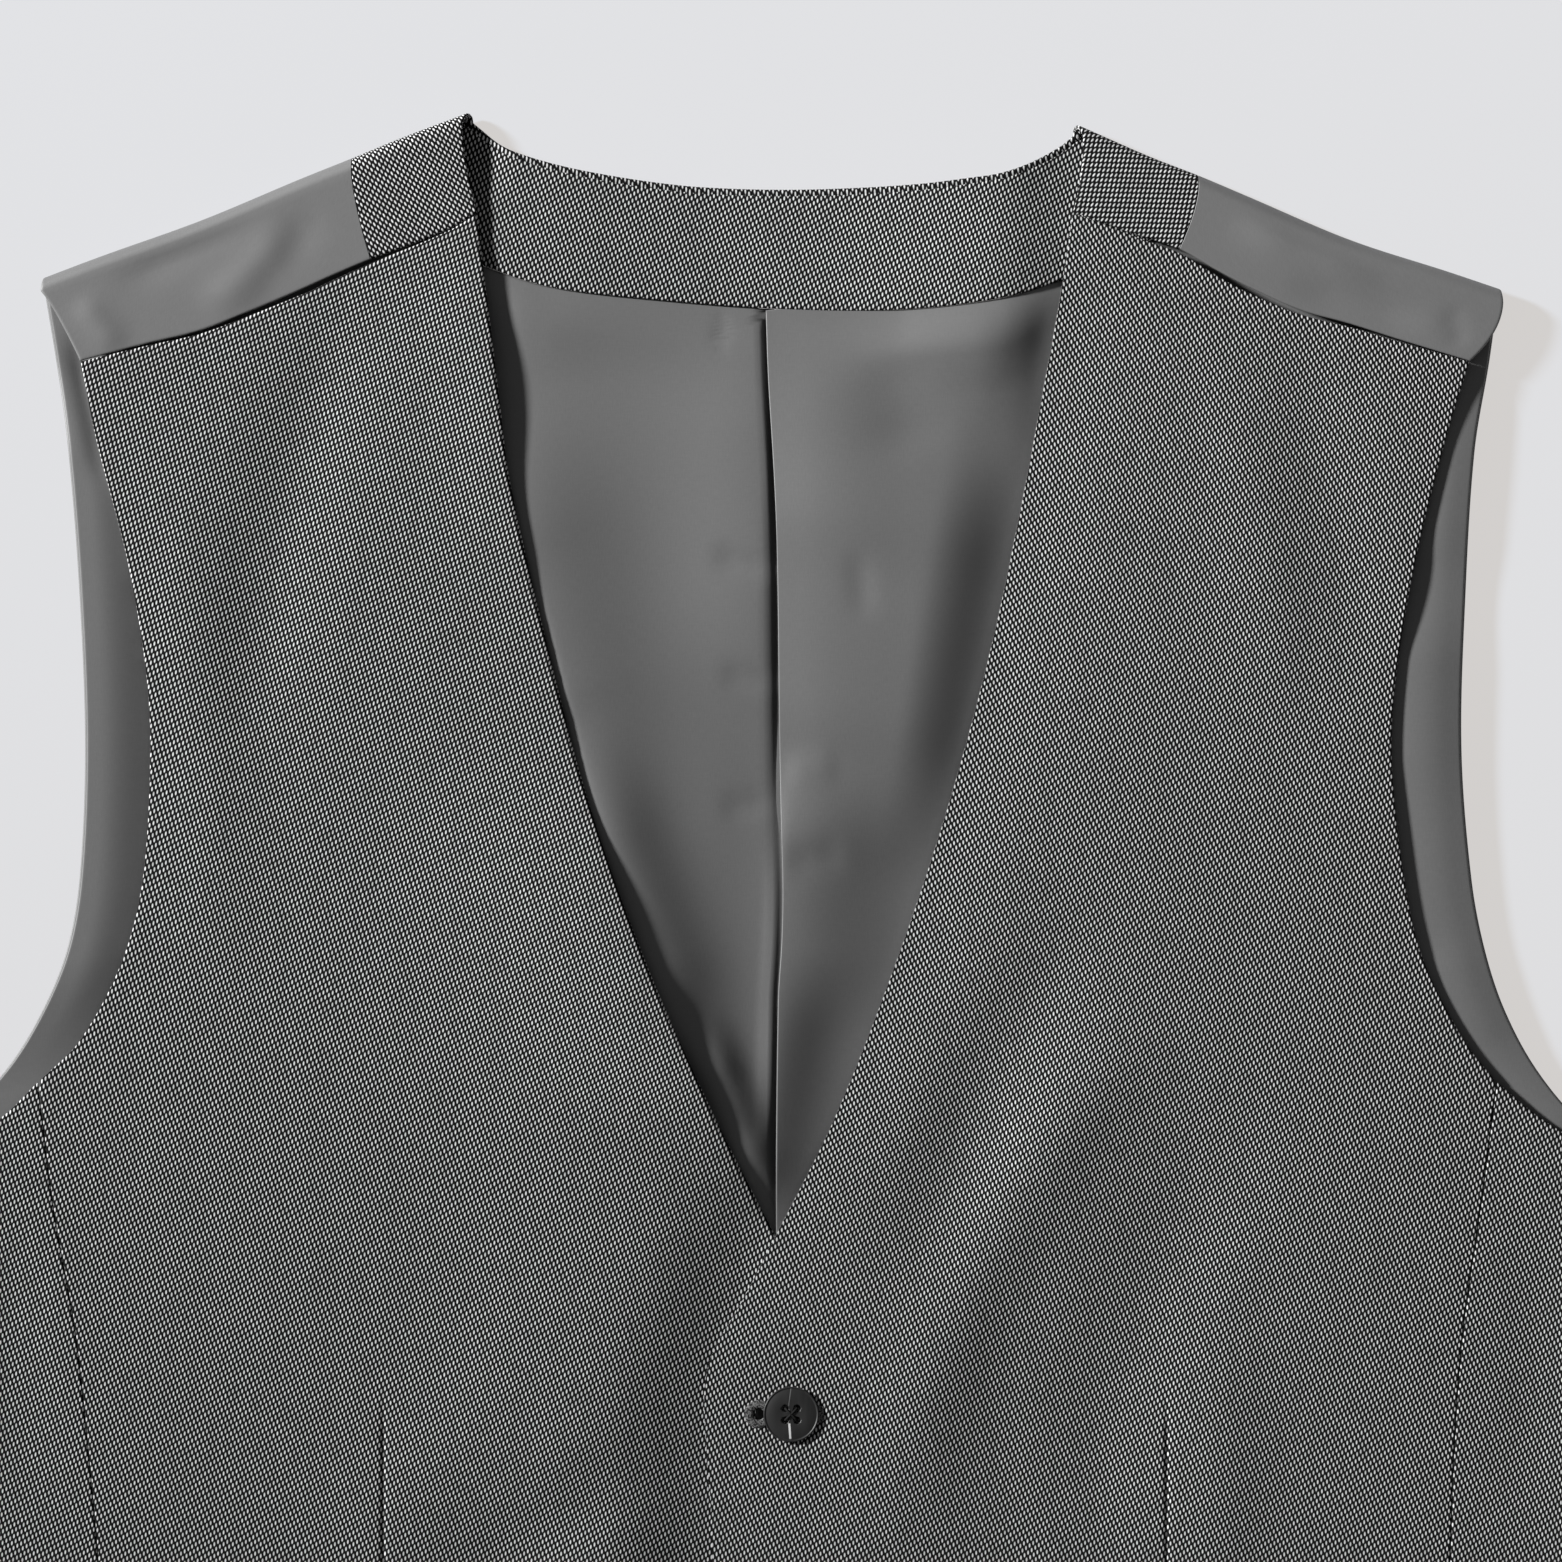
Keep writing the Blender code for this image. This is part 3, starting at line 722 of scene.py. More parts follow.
def round_the_side(x, down, side):
    """Bend the side panel's pattern down round the side of the garment."""
    start = read(SIDE_EDGE, down, 1) - SIDE_RADIUS
    past = np.maximum(side * x - start, 0.0)
    angle = np.minimum(past / SIDE_RADIUS, math.pi / 2)
    drop = SIDE_RADIUS * (1 - np.cos(angle)) + past - angle * SIDE_RADIUS
    level = np.minimum(side * x, start)
    high = front_low(side * level, down) + SUITING
    high = high + folds(level, down, SIDE_FOLDS) * (1 - ease(past, 0.0, 3.0))
    return np.dstack([side * (level + SIDE_RADIUS * np.sin(angle)), down, high - drop])


for side, name, turns in (
    (RIGHT, "side_front_right", ((0, 2.0), (700, 2.0))),
    (LEFT, "side_front_left", ((0, -3.0), (700, -3.0))),
):
    inner = edge(SIDE_FRONT_SEAM, side)
    outer = side_line(side, SIDE_RADIUS)
    arm = edge(UNDERARM, side)

    def underarm(share):
        place = arm(share)
        place[..., 0] -= side * SIDE_RADIUS * share
        return place
    v = stations(SIDE_LENGTH, FRONT_STEP)
    hem = straight(inner(1.0), outer(1.0))
    u = stations(width_of(inner, outer, v), FRONT_STEP, SEAM_FINE, (0.0,))
    flat = patch(inner, outer, underarm, hem, u, v)

    turn = math.pi / 2 * SIDE_RADIUS
    drop = front_low(flat[:, -1, 0], flat[:, -1, 1]) + SUITING - SIDE_RADIUS - SIDE_GAP
    round_turn = turn * np.arange(1, ROUND_COLUMNS + 1) / ROUND_COLUMNS
    past = np.concatenate([
        np.broadcast_to(round_turn, (len(v), ROUND_COLUMNS)), turn + drop[:, None] * TURNED_DOWN,
    ], axis=1)
    x = flat[:, -1:, 0] + side * past
    wrapped = np.dstack([x, np.broadcast_to(flat[:, -1:, 1], x.shape)])
    flat = np.concatenate([flat, wrapped], axis=1)
    x, down = flat[..., 0], flat[..., 1]
    grain = turned_grain(x, down, side * SIDE_GRAIN_ACROSS, turns)
    piece = shell(
        name, round_the_side(x, down, side), SUITING_WALL, grain, suiting, 1, (0.9, 1.1, 0.4, 0.6),
    )
    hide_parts(name)


# ---- Back ----
# Two halves of grey satin, flat on the table, each carried over its shoulder and down to the
# shoulder seam on the front. The seam up the middle is pressed open.
SATIN_WALL = 0.8
BACK_STEP = 4.0
BACK_LENGTH = 560.0
BACK_HEM = 578.0
BAND_DOWN = 51.7        # lower edge of the neck band, at the middle of the back
SHOULDER_RADIUS = 3.5
FOLD_ROWS = 12          # rows of faces round the shoulder fold
FLAP_LENGTH = 22.0      # from the shoulder fold to the seam on the front, about
FLAP_STEP = 1.7
FLAP_RISE = 0.2         # how much the flap climbs on its way to the seam
# Shares of a back's rows from the hem to the underarm, up the armhole, and beside the neck band;
# and where those stretches meet along the centre line and the armhole
SIDE_ROWS, ARM_ROWS, BAND_ROWS = 0.36, 0.34, 0.30
CENTRE_SPLIT = 0.46
ARM_SPLIT = 0.4
# down, across on the right, on the left
BACK_ARMHOLE = (
    (48.5, 196, 194.3),
    (66, 193.1, 191.9),
    (90, 189.6, 187.9),
    (130, 186.5, 185.4),
    (170, 185.1, 184.4),
    (205, 186.6, 187.1),
    (224, 190, 190.7),
    (240, 196.6, 196),
    (256, 206.6, 204.6),
    (270, 220.4, 216.5),
    (281, 236, 233),
    (289.5, 250, 250),
)
# across, down on the right, on the left
SHOULDER_FOLD = (
    (83, -0.6, 3.2),
    (100.5, 6, 10.9),
    (113.6, 11.4, 16),
    (127.3, 16.9, 21.8),
    (154.1, 28.1, 33.2),
    (180.9, 37.7, 41.9),
    (196, 43.4, 47),
)
# across, down
BAND_EDGE = (
    (-113.6, 14.9), (-107, 24), (-95, 33), (-78.3, 40.2), (-60.3, 46), (-33.5, 49.2),
    (0, BAND_DOWN), (33.5, 52), (60.3, 49), (78.5, 43.5), (95, 36.5), (107, 28.5),
    (113.6, 19.5),
)
# Lines of the flap over each shoulder: across where the fold starts, across where it ends,
# across at the shoulder seam, and how late the line turns in on its way there
BAND_FLAP = {RIGHT: (113.6, 113.6, 108.4, 1.4), LEFT: (113.6, 113.6, 108.4, 1.4)}
TIP_FLAP = {RIGHT: (196.0, 196.8, 186.2, 0.9), LEFT: (194.3, 195.2, 186.2, 1.75)}
FLAP_FOLDS = (
    (-131, 31, -152, 51, 2, 5, 5, 0.7),
    (-143, 27, -175, 44, 0, 5, 5, -0.5),
    (-122, 27, -140, 47, 0, 4.5, 4.5, -0.3),
    (-186, 50, -176, 62, 0, 4, 4, 0.5),
    (125, 30, 168, 47, -2, 5.5, 5.5, 0.2),
    (140, 46, 172, 56, 0, 4.5, 4.5, -0.5),
    (181, 52, 184, 62, 0, 3, 3, -0.25),
    (126, 29, 160, 42, 0, 6, 6, 0.6),
)


band = curve(BAND_EDGE)
shares = np.linspace(0, 1, 401)
band_middle = float(np.interp(0.0, band(shares)[:, 0], shares))


def fold_start(x):
    """How far down the back starts to turn round the shoulder fold."""
    return either_side(SHOULDER_FOLD, x, abs(x)) + SHOULDER_RADIUS


def arm_lift(x, down):
    """How far the back and its lining curl up off the table towards the armhole."""
    at_edge = either_side(BACK_ARMHOLE, x, down) - abs(x)
    curl = np.where(x < 0, 4.0, 0.9) * (1 - ease(at_edge, 5.0, np.where(x < 0, 27.0, 19.0)))
    return curl * ease(down, 66, 92) * (1 - ease(down, 226, 262))


def over_shoulder(x, down):
    """Bend the back's pattern up round the shoulder fold and down along the front."""
    start = fold_start(x)
    past = start - down
    angle = np.clip(past / SHOULDER_RADIUS, 0.0, math.pi)
    flap = np.maximum(past - math.pi * SHOULDER_RADIUS, 0.0)
    depth = seam_down(x) - start
    place = np.where(past <= 0, down, start - SHOULDER_RADIUS * np.sin(angle) + flap)
    height = SHOULDER_RADIUS * (1 - np.cos(angle)) + FLAP_RISE * flap / depth
    height = height + folds(x, place, FLAP_FOLDS) * ease(flap, 0.0, 5.0)
    return np.dstack([x, place, height + np.where(past <= 0, arm_lift(x, down), 0.0)])


def flap_across(line, fold_share, flap_share):
    """How far across a flap line lies, at shares of the way round the fold and down the flap."""
    start, end, seam, turn = line
    return mix(mix(start, end, ease(fold_share, 0, 1)), seam, flap_share ** turn)


def flap_pattern(inner_line, outer_line, side, u):
    """Pattern rows from the shoulder fold's start, over the fold, to the shoulder seam."""
    flap_shares = stations(FLAP_LENGTH, FLAP_STEP, (0.0,), SEAM_FINE)[1:]
    steps = [(k / FOLD_ROWS, 0.0) for k in range(1, FOLD_ROWS + 1)]
    rows = []
    for fold, flap in steps + [(1.0, share) for share in flap_shares]:
        inner = flap_across(inner_line[side], fold, flap)
        outer = flap_across(outer_line[side], fold, flap)
        x = side * mix(inner, outer, u)
        start = fold_start(x)
        past = math.pi * SHOULDER_RADIUS * fold
        past = past + flap * (seam_down(x) - start)
        rows.append(np.stack([x, start - past], axis=-1))
    return np.stack(rows)


def back_half(side, centre, hem, side_inset, armhole_inset, step, first):
    """Flat pattern of a back half from the hem up to the start of the shoulder fold, and the
    columns' shares of its top row."""
    armhole = edge([(d, r - armhole_inset, l - armhole_inset) for d, r, l in BACK_ARMHOLE], side)
    inner = joined(
        (stretch(centre, 1.0, CENTRE_SPLIT), SIDE_ROWS),
        (stretch(centre, CENTRE_SPLIT, 0.0), ARM_ROWS),
        (stretch(band, band_middle, 0.0 if side == RIGHT else 1.0), BAND_ROWS),
    )
    outer = joined(
        (stretch(side_line(side, side_inset), 1.0, 0.0), SIDE_ROWS),
        (stretch(armhole, 1.0, ARM_SPLIT), ARM_ROWS),
        (stretch(armhole, ARM_SPLIT, 0.0), BAND_ROWS),
    )
    v = stations(BACK_LENGTH, min(step, 3.0), FINE, (0.0,))
    u = stations(width_of(inner, outer, v), step, first)
    hem_line = straight(*((line(0.0)[0], hem) for line in (inner, outer)))
    top_in, top_out = (line(1.0)[0] for line in (inner, outer))
    fold_line = line_across(fold_start, top_in, top_out)
    return patch(inner, outer, hem_line, fold_line, u, v), u[-1]


def satin_cloth(name, shade, roughness):
    """Plain grey satin: smooth, with threads far finer than the suiting's and a soft sheen."""
    finish = Finish(name, {"Specular IOR Level": 0.9})
    grain = finish.node("ShaderNodeUVMap", {"uv_map": "grain"}, {}, "UV")
    threads = finish.noise(grain, (3200.0, 500.0, 1.0), 2.0, 0.6)
    weft = finish.noise(grain, (350.0, 2600.0, 1.0), 1.0)
    cloud = finish.noise(grain, (24.0, 9.0, 1.0), 3.0)
    tone = 0.5 + 0.9 * (threads - 0.5) + 0.5 * (weft - 0.5) + 0.35 * (cloud - 0.5)
    finish.paint(finish.blend(tone, 0.86 * shade, 1.14 * shade))
    finish.feed(finish.shader.inputs["Roughness"], roughness + 0.12 * (cloud - 0.5))
    finish.emboss(threads + 0.6 * weft, 0.00003, 0.5)
    return finish


satin = satin_cloth("grey back satin", 0.11, 0.55)

for side, name in ((RIGHT, "back_right"), (LEFT, "back_left")):
    centre = straight((side * SEAM_HALF, BAND_DOWN), (side * SEAM_HALF, BACK_HEM))
    flat, u = back_half(side, centre, BACK_HEM, 0.0, 0.0, BACK_STEP, FINE)
    flat = np.concatenate([flat, flap_pattern(BAND_FLAP, TIP_FLAP, side, u)])
    laid = over_shoulder(flat[..., 0], flat[..., 1])
    piece = shell(name, laid, SATIN_WALL, flat, satin, -1, (0.6, 0.5, 0.0, 0.6))
    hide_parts(name)


# ---- Neck band and facing ----
# A curved band of the suiting finishes the outside of the back neck and runs over both shoulders.
# A facing of the same cloth lies inside it, its neck edge a little below the band's.
BAND_WALL = 1.0
BAND_STEP = 2.6
BAND_ROLL = 1.3         # how much the band's neck edge stands up
FACING_WALL = 0.9
FACING_STEP = 2.0
FACING_HIGH = 2.3
FACING_RISE = 1.2       # how much the facing climbs from its neck edge
FACING_NECK_INSET = 0.05
PATCH_TURN = math.radians(16.7)     # slope of the shoulder fold beside the neck
PATCH_ACROSS = 98.0     # the thread beside the neck that keeps its place over the fold
PATCH_DOWN = {RIGHT: 3.5, LEFT: 8.5}
# the flap's line beside the neck, as the two at the back
NECK_FLAP = {RIGHT: (81.0, 83.9, 79.8, 1.5), LEFT: (79.9, 82.6, 79.8, 2.0)}
# across, down
NECKLINE = (
    (-81, 1.9), (-79.1, 3.4), (-73.7, 7.7), (-68.3, 10.2), (-57.6, 13.3), (-46.9, 15.5),
    (-33.5, 17.6), (-20.1, 19), (0, 19.7), (20.1, 19.3), (38.9, 18.2), (52.3, 16.6),
    (60.3, 15.4), (68.3, 12.6), (76.4, 8.2), (79.9, 5.4),
)


def neck_lift(x, down):
    """How far the neck's layers rise towards the shoulders, and dip again beside the fronts."""
    dip = np.where(x < 0, ease(-x, 70, 81) * (1 - ease(down, 13, 24)), ease(x, 60, 82))
    return np.where(x < 0, 1.5, 2.6) * ease(abs(x), 10, 62) * (1 - 0.93 * dip)


def shoulder_grain(x, down, laid):
    """The band's thread directions, good side down at the back and up beyond the shoulder fold."""
    side = np.where(x < 0, RIGHT, LEFT)
    cosine, sine = math.cos(PATCH_TURN), math.sin(PATCH_TURN)
    past = fold_start(x) - down
    fold_down = np.where(x < 0, PATCH_DOWN[RIGHT], PATCH_DOWN[LEFT]) + SHOULDER_RADIUS
    fold = np.stack([side * PATCH_ACROSS, fold_down], axis=-1)
    along = np.stack([side * cosine, np.full(x.shape, sine)], axis=-1)
    out = np.stack([side * sine, np.full(x.shape, -cosine)], axis=-1)
    here = laid[..., :2] - fold
    reach = (here * along).sum(-1)
    flap = math.pi * SHOULDER_RADIUS - (here * out).sum(-1)
    mirrored = fold + along * reach[..., None] + out * flap[..., None]
    share = ease(past, 2.0, 9.0)[..., None]
    return mix(np.dstack([x, down]), mirrored, share) * (-1.0, 1.0)


upper = curve(NECKLINE)(np.linspace(0, 1, 101))
lower = band(np.concatenate([
    np.linspace(0, band_middle, 51), np.linspace(band_middle, 1, 51)[1:],
]))
u = stations(np.hypot(*(lower - upper).T), BAND_STEP, FINE, SEAM_FINE)
flat = np.concatenate([
    flap_pattern(NECK_FLAP, BAND_FLAP, RIGHT, u[0])[::-1],
    mix(upper[:, None], lower[:, None], u[..., None]),
    flap_pattern(NECK_FLAP, BAND_FLAP, LEFT, u[-1]),
])
x, down = flat[..., 0], flat[..., 1]
laid = over_shoulder(x, down)
from_neck = np.linalg.norm(flat - flat[:, :1], axis=-1)
on_back = ease(fold_start(x) - down, 3.0, 0.0)
laid[..., 2] += (BAND_ROLL * (1 - ease(from_neck, 1.5, 2.6)) + neck_lift(x, down)) * on_back
piece = shell(
    "back_neck_band", laid, BAND_WALL, shoulder_grain(x, down, laid), suiting, 1,
    (0.8, 0.8, 0.35, 0.2),
)
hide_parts("back_neck_band")

inset = mix(upper, lower, FACING_NECK_INSET)
u = stations(np.hypot(*(lower - inset).T), FACING_STEP, FINE, FINE)
flat = mix(inset[:, None], lower[:, None], u[..., None])
x, down = flat[..., 0], flat[..., 1]
from_neck = np.linalg.norm(flat - flat[:, :1], axis=-1)
height = FACING_HIGH + neck_lift(x, down) + FACING_RISE * ease(from_neck, 0, 30)
piece = shell(
    "back_neck_facing", np.dstack([x, down, height]), FACING_WALL, flat, suiting, 1,
    (0.6, 0.6, 0.8, 0.6),
)
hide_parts("back_neck_facing")


# ---- Lining ----
# Grey lining inside the back, in two halves. The left half's folded edge lies on the right half
# down the middle, an ease pleat, and both hang loose, with soft creases.
LINING_WALL = 0.7
LINING_STEP = 2.3
LINING_HEM = 572.0
LINING_SIDE_INSET = 3.5
LINING_ARM_INSET = 0.6
LINING_HIGH = 2.4       # height of its good side in the V, and how much less it is further down
LINING_SINK = 0.8
BAND_FULLNESS = 0.9     # how far it swells below the facing
# down, across
PLEAT_EDGE = (
    (52, -2.5), (70, -1.9), (93.5, -0.5), (111, 0.3), (130, 0.7), (157, 1),
    (184, 1.4), (208, 2), (222, 1.7), (237, 0.8), (300, 0.3), (572, 0),
)
PLEAT_UNDERLAP = 4.0
PLEAT_LIFT = 0.8        # how high the left half's folded edge stands over the right half
PLEAT_DEPTH = 1.3       # how deep the right half dips under that edge
# the same columns as the fronts' folds
RIGHT_LINING_FOLDS = (
    (-74, 87, -49, 181, 0, 4.5, 21.5, 3.5),
    (-52, 171, -24, 252, 0, 11.8, 12.9, 5.5),
    (-20, 244, -4, 288, 0, 9.8, 6.3, 4.1),
    (0, 158, -6, 275, 0, 14.1, 3, -1),
    (-70, 20, -72, 112, 0, 12, 24, 0.7),
    (-4, 60, -1, 150, 0, 20, 9, 1.7),
    (-14, 50, -14.3, 62, 0, 1.6, 1, -0.6),
    (-1, 122, -16, 118, 0, 3, 3, -0.5),
    (-1, 152, -14, 150, 0, 3, 3, -0.4),
    (-1, 184, -14, 186, 0, 3, 3, -0.4),
)
LEFT_LINING_FOLDS = (
    (54, 30, 54, 82, 0, 40, 14, 2.5),
    (47, 84, 28, 192, 0, 70, 18, 6.2),
    (23, 69, 15, 119, 0, 24.3, 23.9, 1.1),
    (6, 178, -1, 240, 0, 12.5, 26, 5.1),
    (1, 230, -9, 297, 0, 6.2, 13.5, 5.5),
    (31, 66, 38, 90, 0, 11, 11, -0.6),
    (74, 44, 71, 100, 0, 6, 6, -1),
    (67, 96, 46, 204, 0, 10, 8, -0.7),
    (4, 200, 18, 198, 0, 4, 4, -0.5),
    (4, 176, 16, 174, 0, 4, 4, 0.4),
    (22, 118, 24, 134, 0, 3.5, 3.5, -0.35),
)
LINING_ARM_FOLDS = (
    (186, 56, 173, 130, 0, 13, 18, 2.4),
    (170, 128, 168, 192, 0, 12, 18, 3),
    (167, 184, 176, 245, 0, 10, 20, 2.5),
    (176, 234, 226, 282, 0, 12, 14, 2.6),
    (-188, 60, -180, 96, 0, 3, 3, -1.2),
)
# Distances from the underlap's edge at which the right half has fine faces, up to the fold on it
UNDERLAP_FINE = (0.0, 0.3, 1.0, 2.2, 2.9, 3.4, 3.8, 4.2, 4.6, 5.1, 5.8, 6.8)
lining = satin_cloth("grey lining", 0.093, 0.6)
pleat = curve([(x, down) for down, x in PLEAT_EDGE])
underlap = curve([(x + PLEAT_UNDERLAP, down) for down, x in PLEAT_EDGE])


def lining_height(x, down, creases):
    """Height of the lining's good side, apart from the pleat."""
    from_band = down - np.interp(x, *np.array(BAND_EDGE).T)
    beside_neck = (1 - ease(from_band, 2, 26)) * (abs(x) < 115)
    below_band = ease(from_band, -6, 12) * (1 - ease(abs(x), 66, 84)) * (1 - ease(down, 60, 130))
    in_the_v = (1 - ease(abs(x), 78, 92)) * ease(from_band, -2, 14)
    height = LINING_HIGH - LINING_SINK * ease(down, 275, 295) + neck_lift(x, down) * beside_neck
    height = height + BAND_FULLNESS * below_band + folds(x, down, creases) * in_the_v
    return height + folds(x, down, LINING_ARM_FOLDS) + arm_lift(x, down)


for side, name, centre, first, creases in (
    (RIGHT, "back_lining_right", underlap, UNDERLAP_FINE, RIGHT_LINING_FOLDS),
    (LEFT, "back_lining_left", pleat, FINE, LEFT_LINING_FOLDS),
):
    flat, _ = back_half(
        side, centre, LINING_HEM, LINING_SIDE_INSET, LINING_ARM_INSET, LINING_STEP, first,
    )
    x, down = flat[..., 0], flat[..., 1]
    height = lining_height(x, down, creases)
    if side == LEFT:
        height = height + PLEAT_LIFT * (1 - ease(x, 8.0, 36.0))
    else:
        past_fold = np.minimum(x - np.interp(down, *np.array(PLEAT_EDGE).T), 0.0)
        width = 1.0 + 0.8 * ease(down, 90, 130) * (1 - 0.5 * ease(down, 190, 250))
        depth = PLEAT_DEPTH - 1.2 * ease(down, 272, 300)
        height = height - depth * np.exp(-(past_fold / width) ** 2)
    piece = shell(
        name, np.dstack([x, down, height]), LINING_WALL, flat, lining, 1, (0.5, 0.3, 0.15, 0.5),
    )
    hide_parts(name)


# ---- Buttonholes ----
# Five keyhole buttonholes in the left front: an eye for the button's shank and a slit, both edged
# with close stitches of grey buttonhole twist.
EYE_ACROSS = -4.4
SLIT_END = 12.3
EYE_RADIUS = 1.5
STITCH_HALF = 1.15      # half of the stitches' length
STITCH_FLAT = 0.28      # thickness of the stitched edging, and of the dark slit, to their width
SLIT_FLAT = 0.06
SLIT_HALF = 0.1         # from the slit's middle to the stitches
SLIT_POINTS = 16
EYE_POINTS = 25


def left_front_top(x, down):
    return float(front_height(np.array(float(x)), np.array(float(down)), LEFT, LEFT_FRONT_FOLDS))


def tube(name, points, radius, finish, closed=False, squash=1.0):
    """A thread or an edging along the points, in millimetres across, down and up, which squash
    makes flatter than it is wide."""
    line = bpy.data.curves.new(name, "CURVE")
    line.dimensions = "3D"
    line.bevel_depth = radius * MM
    line.bevel_resolution = 3
    line.use_fill_caps = not closed
    spline = line.splines.new("POLY")
    spline.points.add(len(points) - 1)
    spline.use_cyclic_u = closed
    for point, (across, down, up) in zip(spline.points, points):
        point.co = (*in_metres(across, down, up / squash), 1.0)
    shape = bpy.data.objects.new(name, line)
    mesh = bpy.data.meshes.new_from_object(shape)
    bpy.data.objects.remove(shape)
    bpy.data.curves.remove(line)
    bm = bmesh.new()
    bm.from_mesh(mesh)
    bpy.data.meshes.remove(mesh)
    bmesh.ops.remove_doubles(bm, verts=bm.verts[:], dist=1e-7)
    bmesh.ops.scale(bm, verts=bm.verts[:], vec=(1.0, 1.0, squash))
    bmesh.ops.recalc_face_normals(bm, faces=bm.faces[:])
    for face in bm.faces:
        face.smooth = True
    piece = put(name, bm, finish)
    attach(piece, "root")
    return piece


twist = Finish("buttonhole twist", {"Roughness": 0.8, "Specular IOR Level": 0.2})
strands = twist.noise(twist.place(), 2300.0, 2.0, 0.6)
twist.paint(twist.blend(twist.smooth_step(strands, 0.4, 0.62), 0.006, 0.16))
twist.emboss(strands, 0.0002, 0.8)
# Painted shade: a flat near-black sheet stands for the shadow inside each hole, which is not cut
# through the front
painted_hole_shade = Finish("painted shade in a hole", {"Roughness": 0.95, "Specular IOR Level": 0.0})
painted_hole_shade.paint(painted_hole_shade.blend(painted_hole_shade.noise(painted_hole_shade.place(), 900.0), 0.001, 0.006))
ring = EYE_RADIUS + STITCH_HALF
edging_down = STITCH_HALF + SLIT_HALF
opening = math.asin(edging_down / ring)
for k in range(BUTTON_COUNT):
    row = BUTTON_FIRST_DOWN + BUTTON_PITCH * k
    leg = np.linspace(SLIT_END, EYE_ACROSS + ring + 0.4, SLIT_POINTS)
    path = [(x, row - edging_down) for x in leg]
    for turn in np.linspace(opening, 2 * math.pi - opening, EYE_POINTS):
        path.append((EYE_ACROSS + ring * math.cos(turn), row - ring * math.sin(turn)))
    path += [(x, row + edging_down) for x in leg[::-1]]
    edging = tube(
        f"buttonhole_{k + 1}_stitches",
        [(x, down, left_front_top(x, down) + 0.12) for x, down in path],
        STITCH_HALF, twist, True, STITCH_FLAT,
    )
    # The painted shade sheet lies over the eye and the start of the slit
    inside = [
        (x, row, left_front_top(x, row) + 0.02)
        for x in np.linspace(EYE_ACROSS - 0.6, EYE_ACROSS + 3.0, 6)
    ]
    hole = tube(f"buttonhole_{k + 1}_inside", inside, EYE_RADIUS, painted_hole_shade, False, SLIT_FLAT)


# ---- Buttons ----
# Five four-hole buttons of dark polished horn, turned with a fine raised rim and sewn to the right
# front with dark thread, crossed; each comes through its hole in the left front.
HOLE_OFFSET = 1.6       # from the button's middle to a hole, across and along
HOLE_RADIUS = 0.98
DRILL_DEPTH = 6.0
BUTTON_GAP = 0.1        # from the front up to the button's underside
BUTTON_TOP = 1.3
THREAD_RADIUS = 0.32
# radius, height
BUTTON_PROFILE = (
    (0, 1.3), (2.8, 1.3), (3.4, 1.36), (6.55, 1.42), (6.75, 1.32), (6.95, 1.34), (7.08, 1.5),
    (7.28, 1.5), (7.42, 1.32), (7.38, 0.8), (6.9, 0.35), (5.8, 0.1), (0, 0),
)
# across and up along the thread, from the bottom of one hole to the bottom of the hole opposite
THREAD_PATH = ((-1.7, 0.1), (-1.5, 1.2), (-1.0, 1.45), (1.0, 1.45), (1.5, 1.2), (1.7, 0.1))
horn = Finish("dark horn", {"Roughness": 0.42, "Specular IOR Level": 0.5})
where = horn.place()
streak = horn.noise(where, (700.0, 60.0, 700.0), 3.0)
across = horn.part(where, "X") / MM - (BUTTON_ACROSS - 0.35)
along = horn.part(where, "Y") / MM - (LENGTH / 2 - BUTTON_FIRST_DOWN)


def pale_line(middle, lean, sides, ends):
    """A pale line painted on the top button, whose sides and ends fade between two distances."""
    line = horn.smooth_step(abs(across - lean * (along - middle)), *sides)
    return line * horn.smooth_step(abs(along - middle), *ends)


# The pale line is a hair above the holes, and broader below them
hair = pale_line(4.6, 0.13, (0.16, 0.06), (2.5, 2.2))
broad = pale_line(-4.5, -0.07, (0.34, 0.2), (2.2, 1.9))
body = horn.blend(0.35 * hair, horn.blend(streak, 0.006, 0.022), 0.3)
horn.paint(horn.blend(broad, body, 0.6))
thread = Finish("button thread", {"Roughness": 0.8, "Specular IOR Level": 0.2})
thread.paint(thread.blend(thread.noise(thread.place(), 4000.0), 0.004, 0.012))

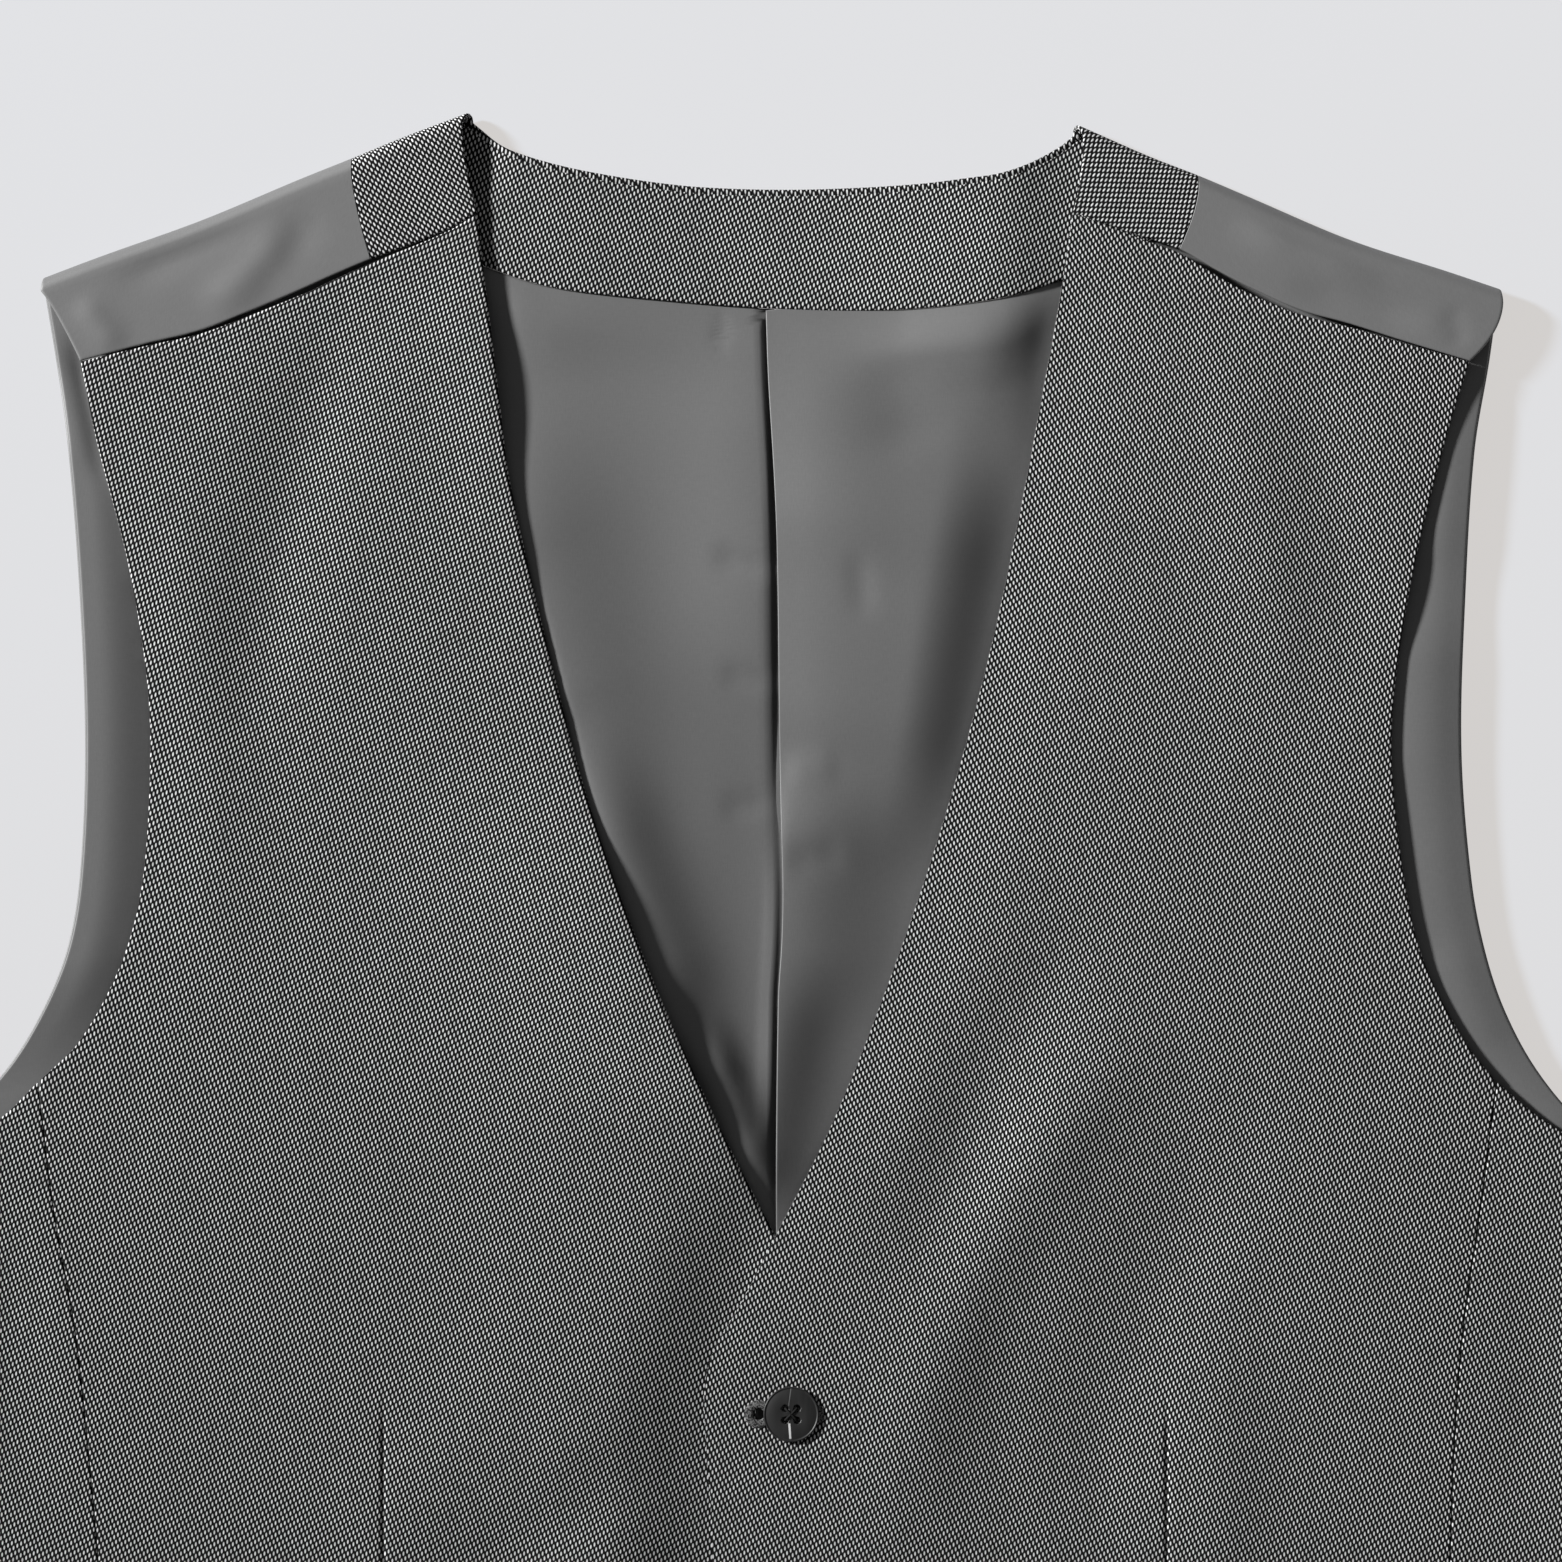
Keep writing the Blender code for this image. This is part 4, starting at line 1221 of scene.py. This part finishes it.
bm = bmesh.new()
profile = [bm.verts.new((radius * MM, 0.0, height * MM)) for radius, height in BUTTON_PROFILE]
profile += [bm.edges.new(pair) for pair in zip(profile, profile[1:])]
bmesh.ops.spin(
    bm, geom=profile, axis=(0, 0, 1), cent=(0, 0, 0), angle=2 * math.pi, steps=64, use_merge=True,
)
bmesh.ops.remove_doubles(bm, verts=bm.verts[:], dist=1e-6)
bmesh.ops.recalc_face_normals(bm, faces=bm.faces[:])
blank = put("button blank", bm)
bm = bmesh.new()
for right, ahead in ((1, 1), (-1, 1), (-1, -1), (1, -1)):
    bit = bmesh.ops.create_cone(
        bm, cap_ends=True, segments=24, radius1=HOLE_RADIUS * MM, radius2=HOLE_RADIUS * MM,
        depth=DRILL_DEPTH * MM,
    )["verts"]
    offset = (right * HOLE_OFFSET * MM, ahead * HOLE_OFFSET * MM, 0.0)
    bmesh.ops.translate(bm, verts=bit, vec=offset)
drill = put("button drill", bm)
cut = blank.modifiers.new("holes", "BOOLEAN")
cut.object = drill
cut.operation = "DIFFERENCE"
cut.solver = "EXACT"
depsgraph = bpy.context.evaluated_depsgraph_get()
drilled = bpy.data.meshes.new_from_object(blank.evaluated_get(depsgraph))
bpy.data.objects.remove(blank)
bpy.data.objects.remove(drill)
for k in range(BUTTON_COUNT):
    row = BUTTON_FIRST_DOWN + BUTTON_PITCH * k
    low = left_front_top(BUTTON_ACROSS, row) + BUTTON_GAP
    bm = bmesh.new()
    bm.from_mesh(drilled)
    bmesh.ops.translate(bm, verts=bm.verts[:], vec=in_metres(BUTTON_ACROSS, row, low))
    for face in bm.faces:
        on_rim = face.calc_center_median().z > (low + BUTTON_TOP) * MM
        face.smooth = abs(face.normal.z) > 0.3 or on_rim
    button = put(f"button_{k + 1}", bm, horn)
    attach(button, "root")
    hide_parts(f"button_{k + 1}")
    for strand, slant in (("first", 1), ("second", -1)):
        path = [
            (BUTTON_ACROSS + reach, row + slant * reach, low + up) for reach, up in THREAD_PATH
        ]
        stitch = tube(f"button_{k + 1}_thread_{strand}", path, THREAD_RADIUS, thread)
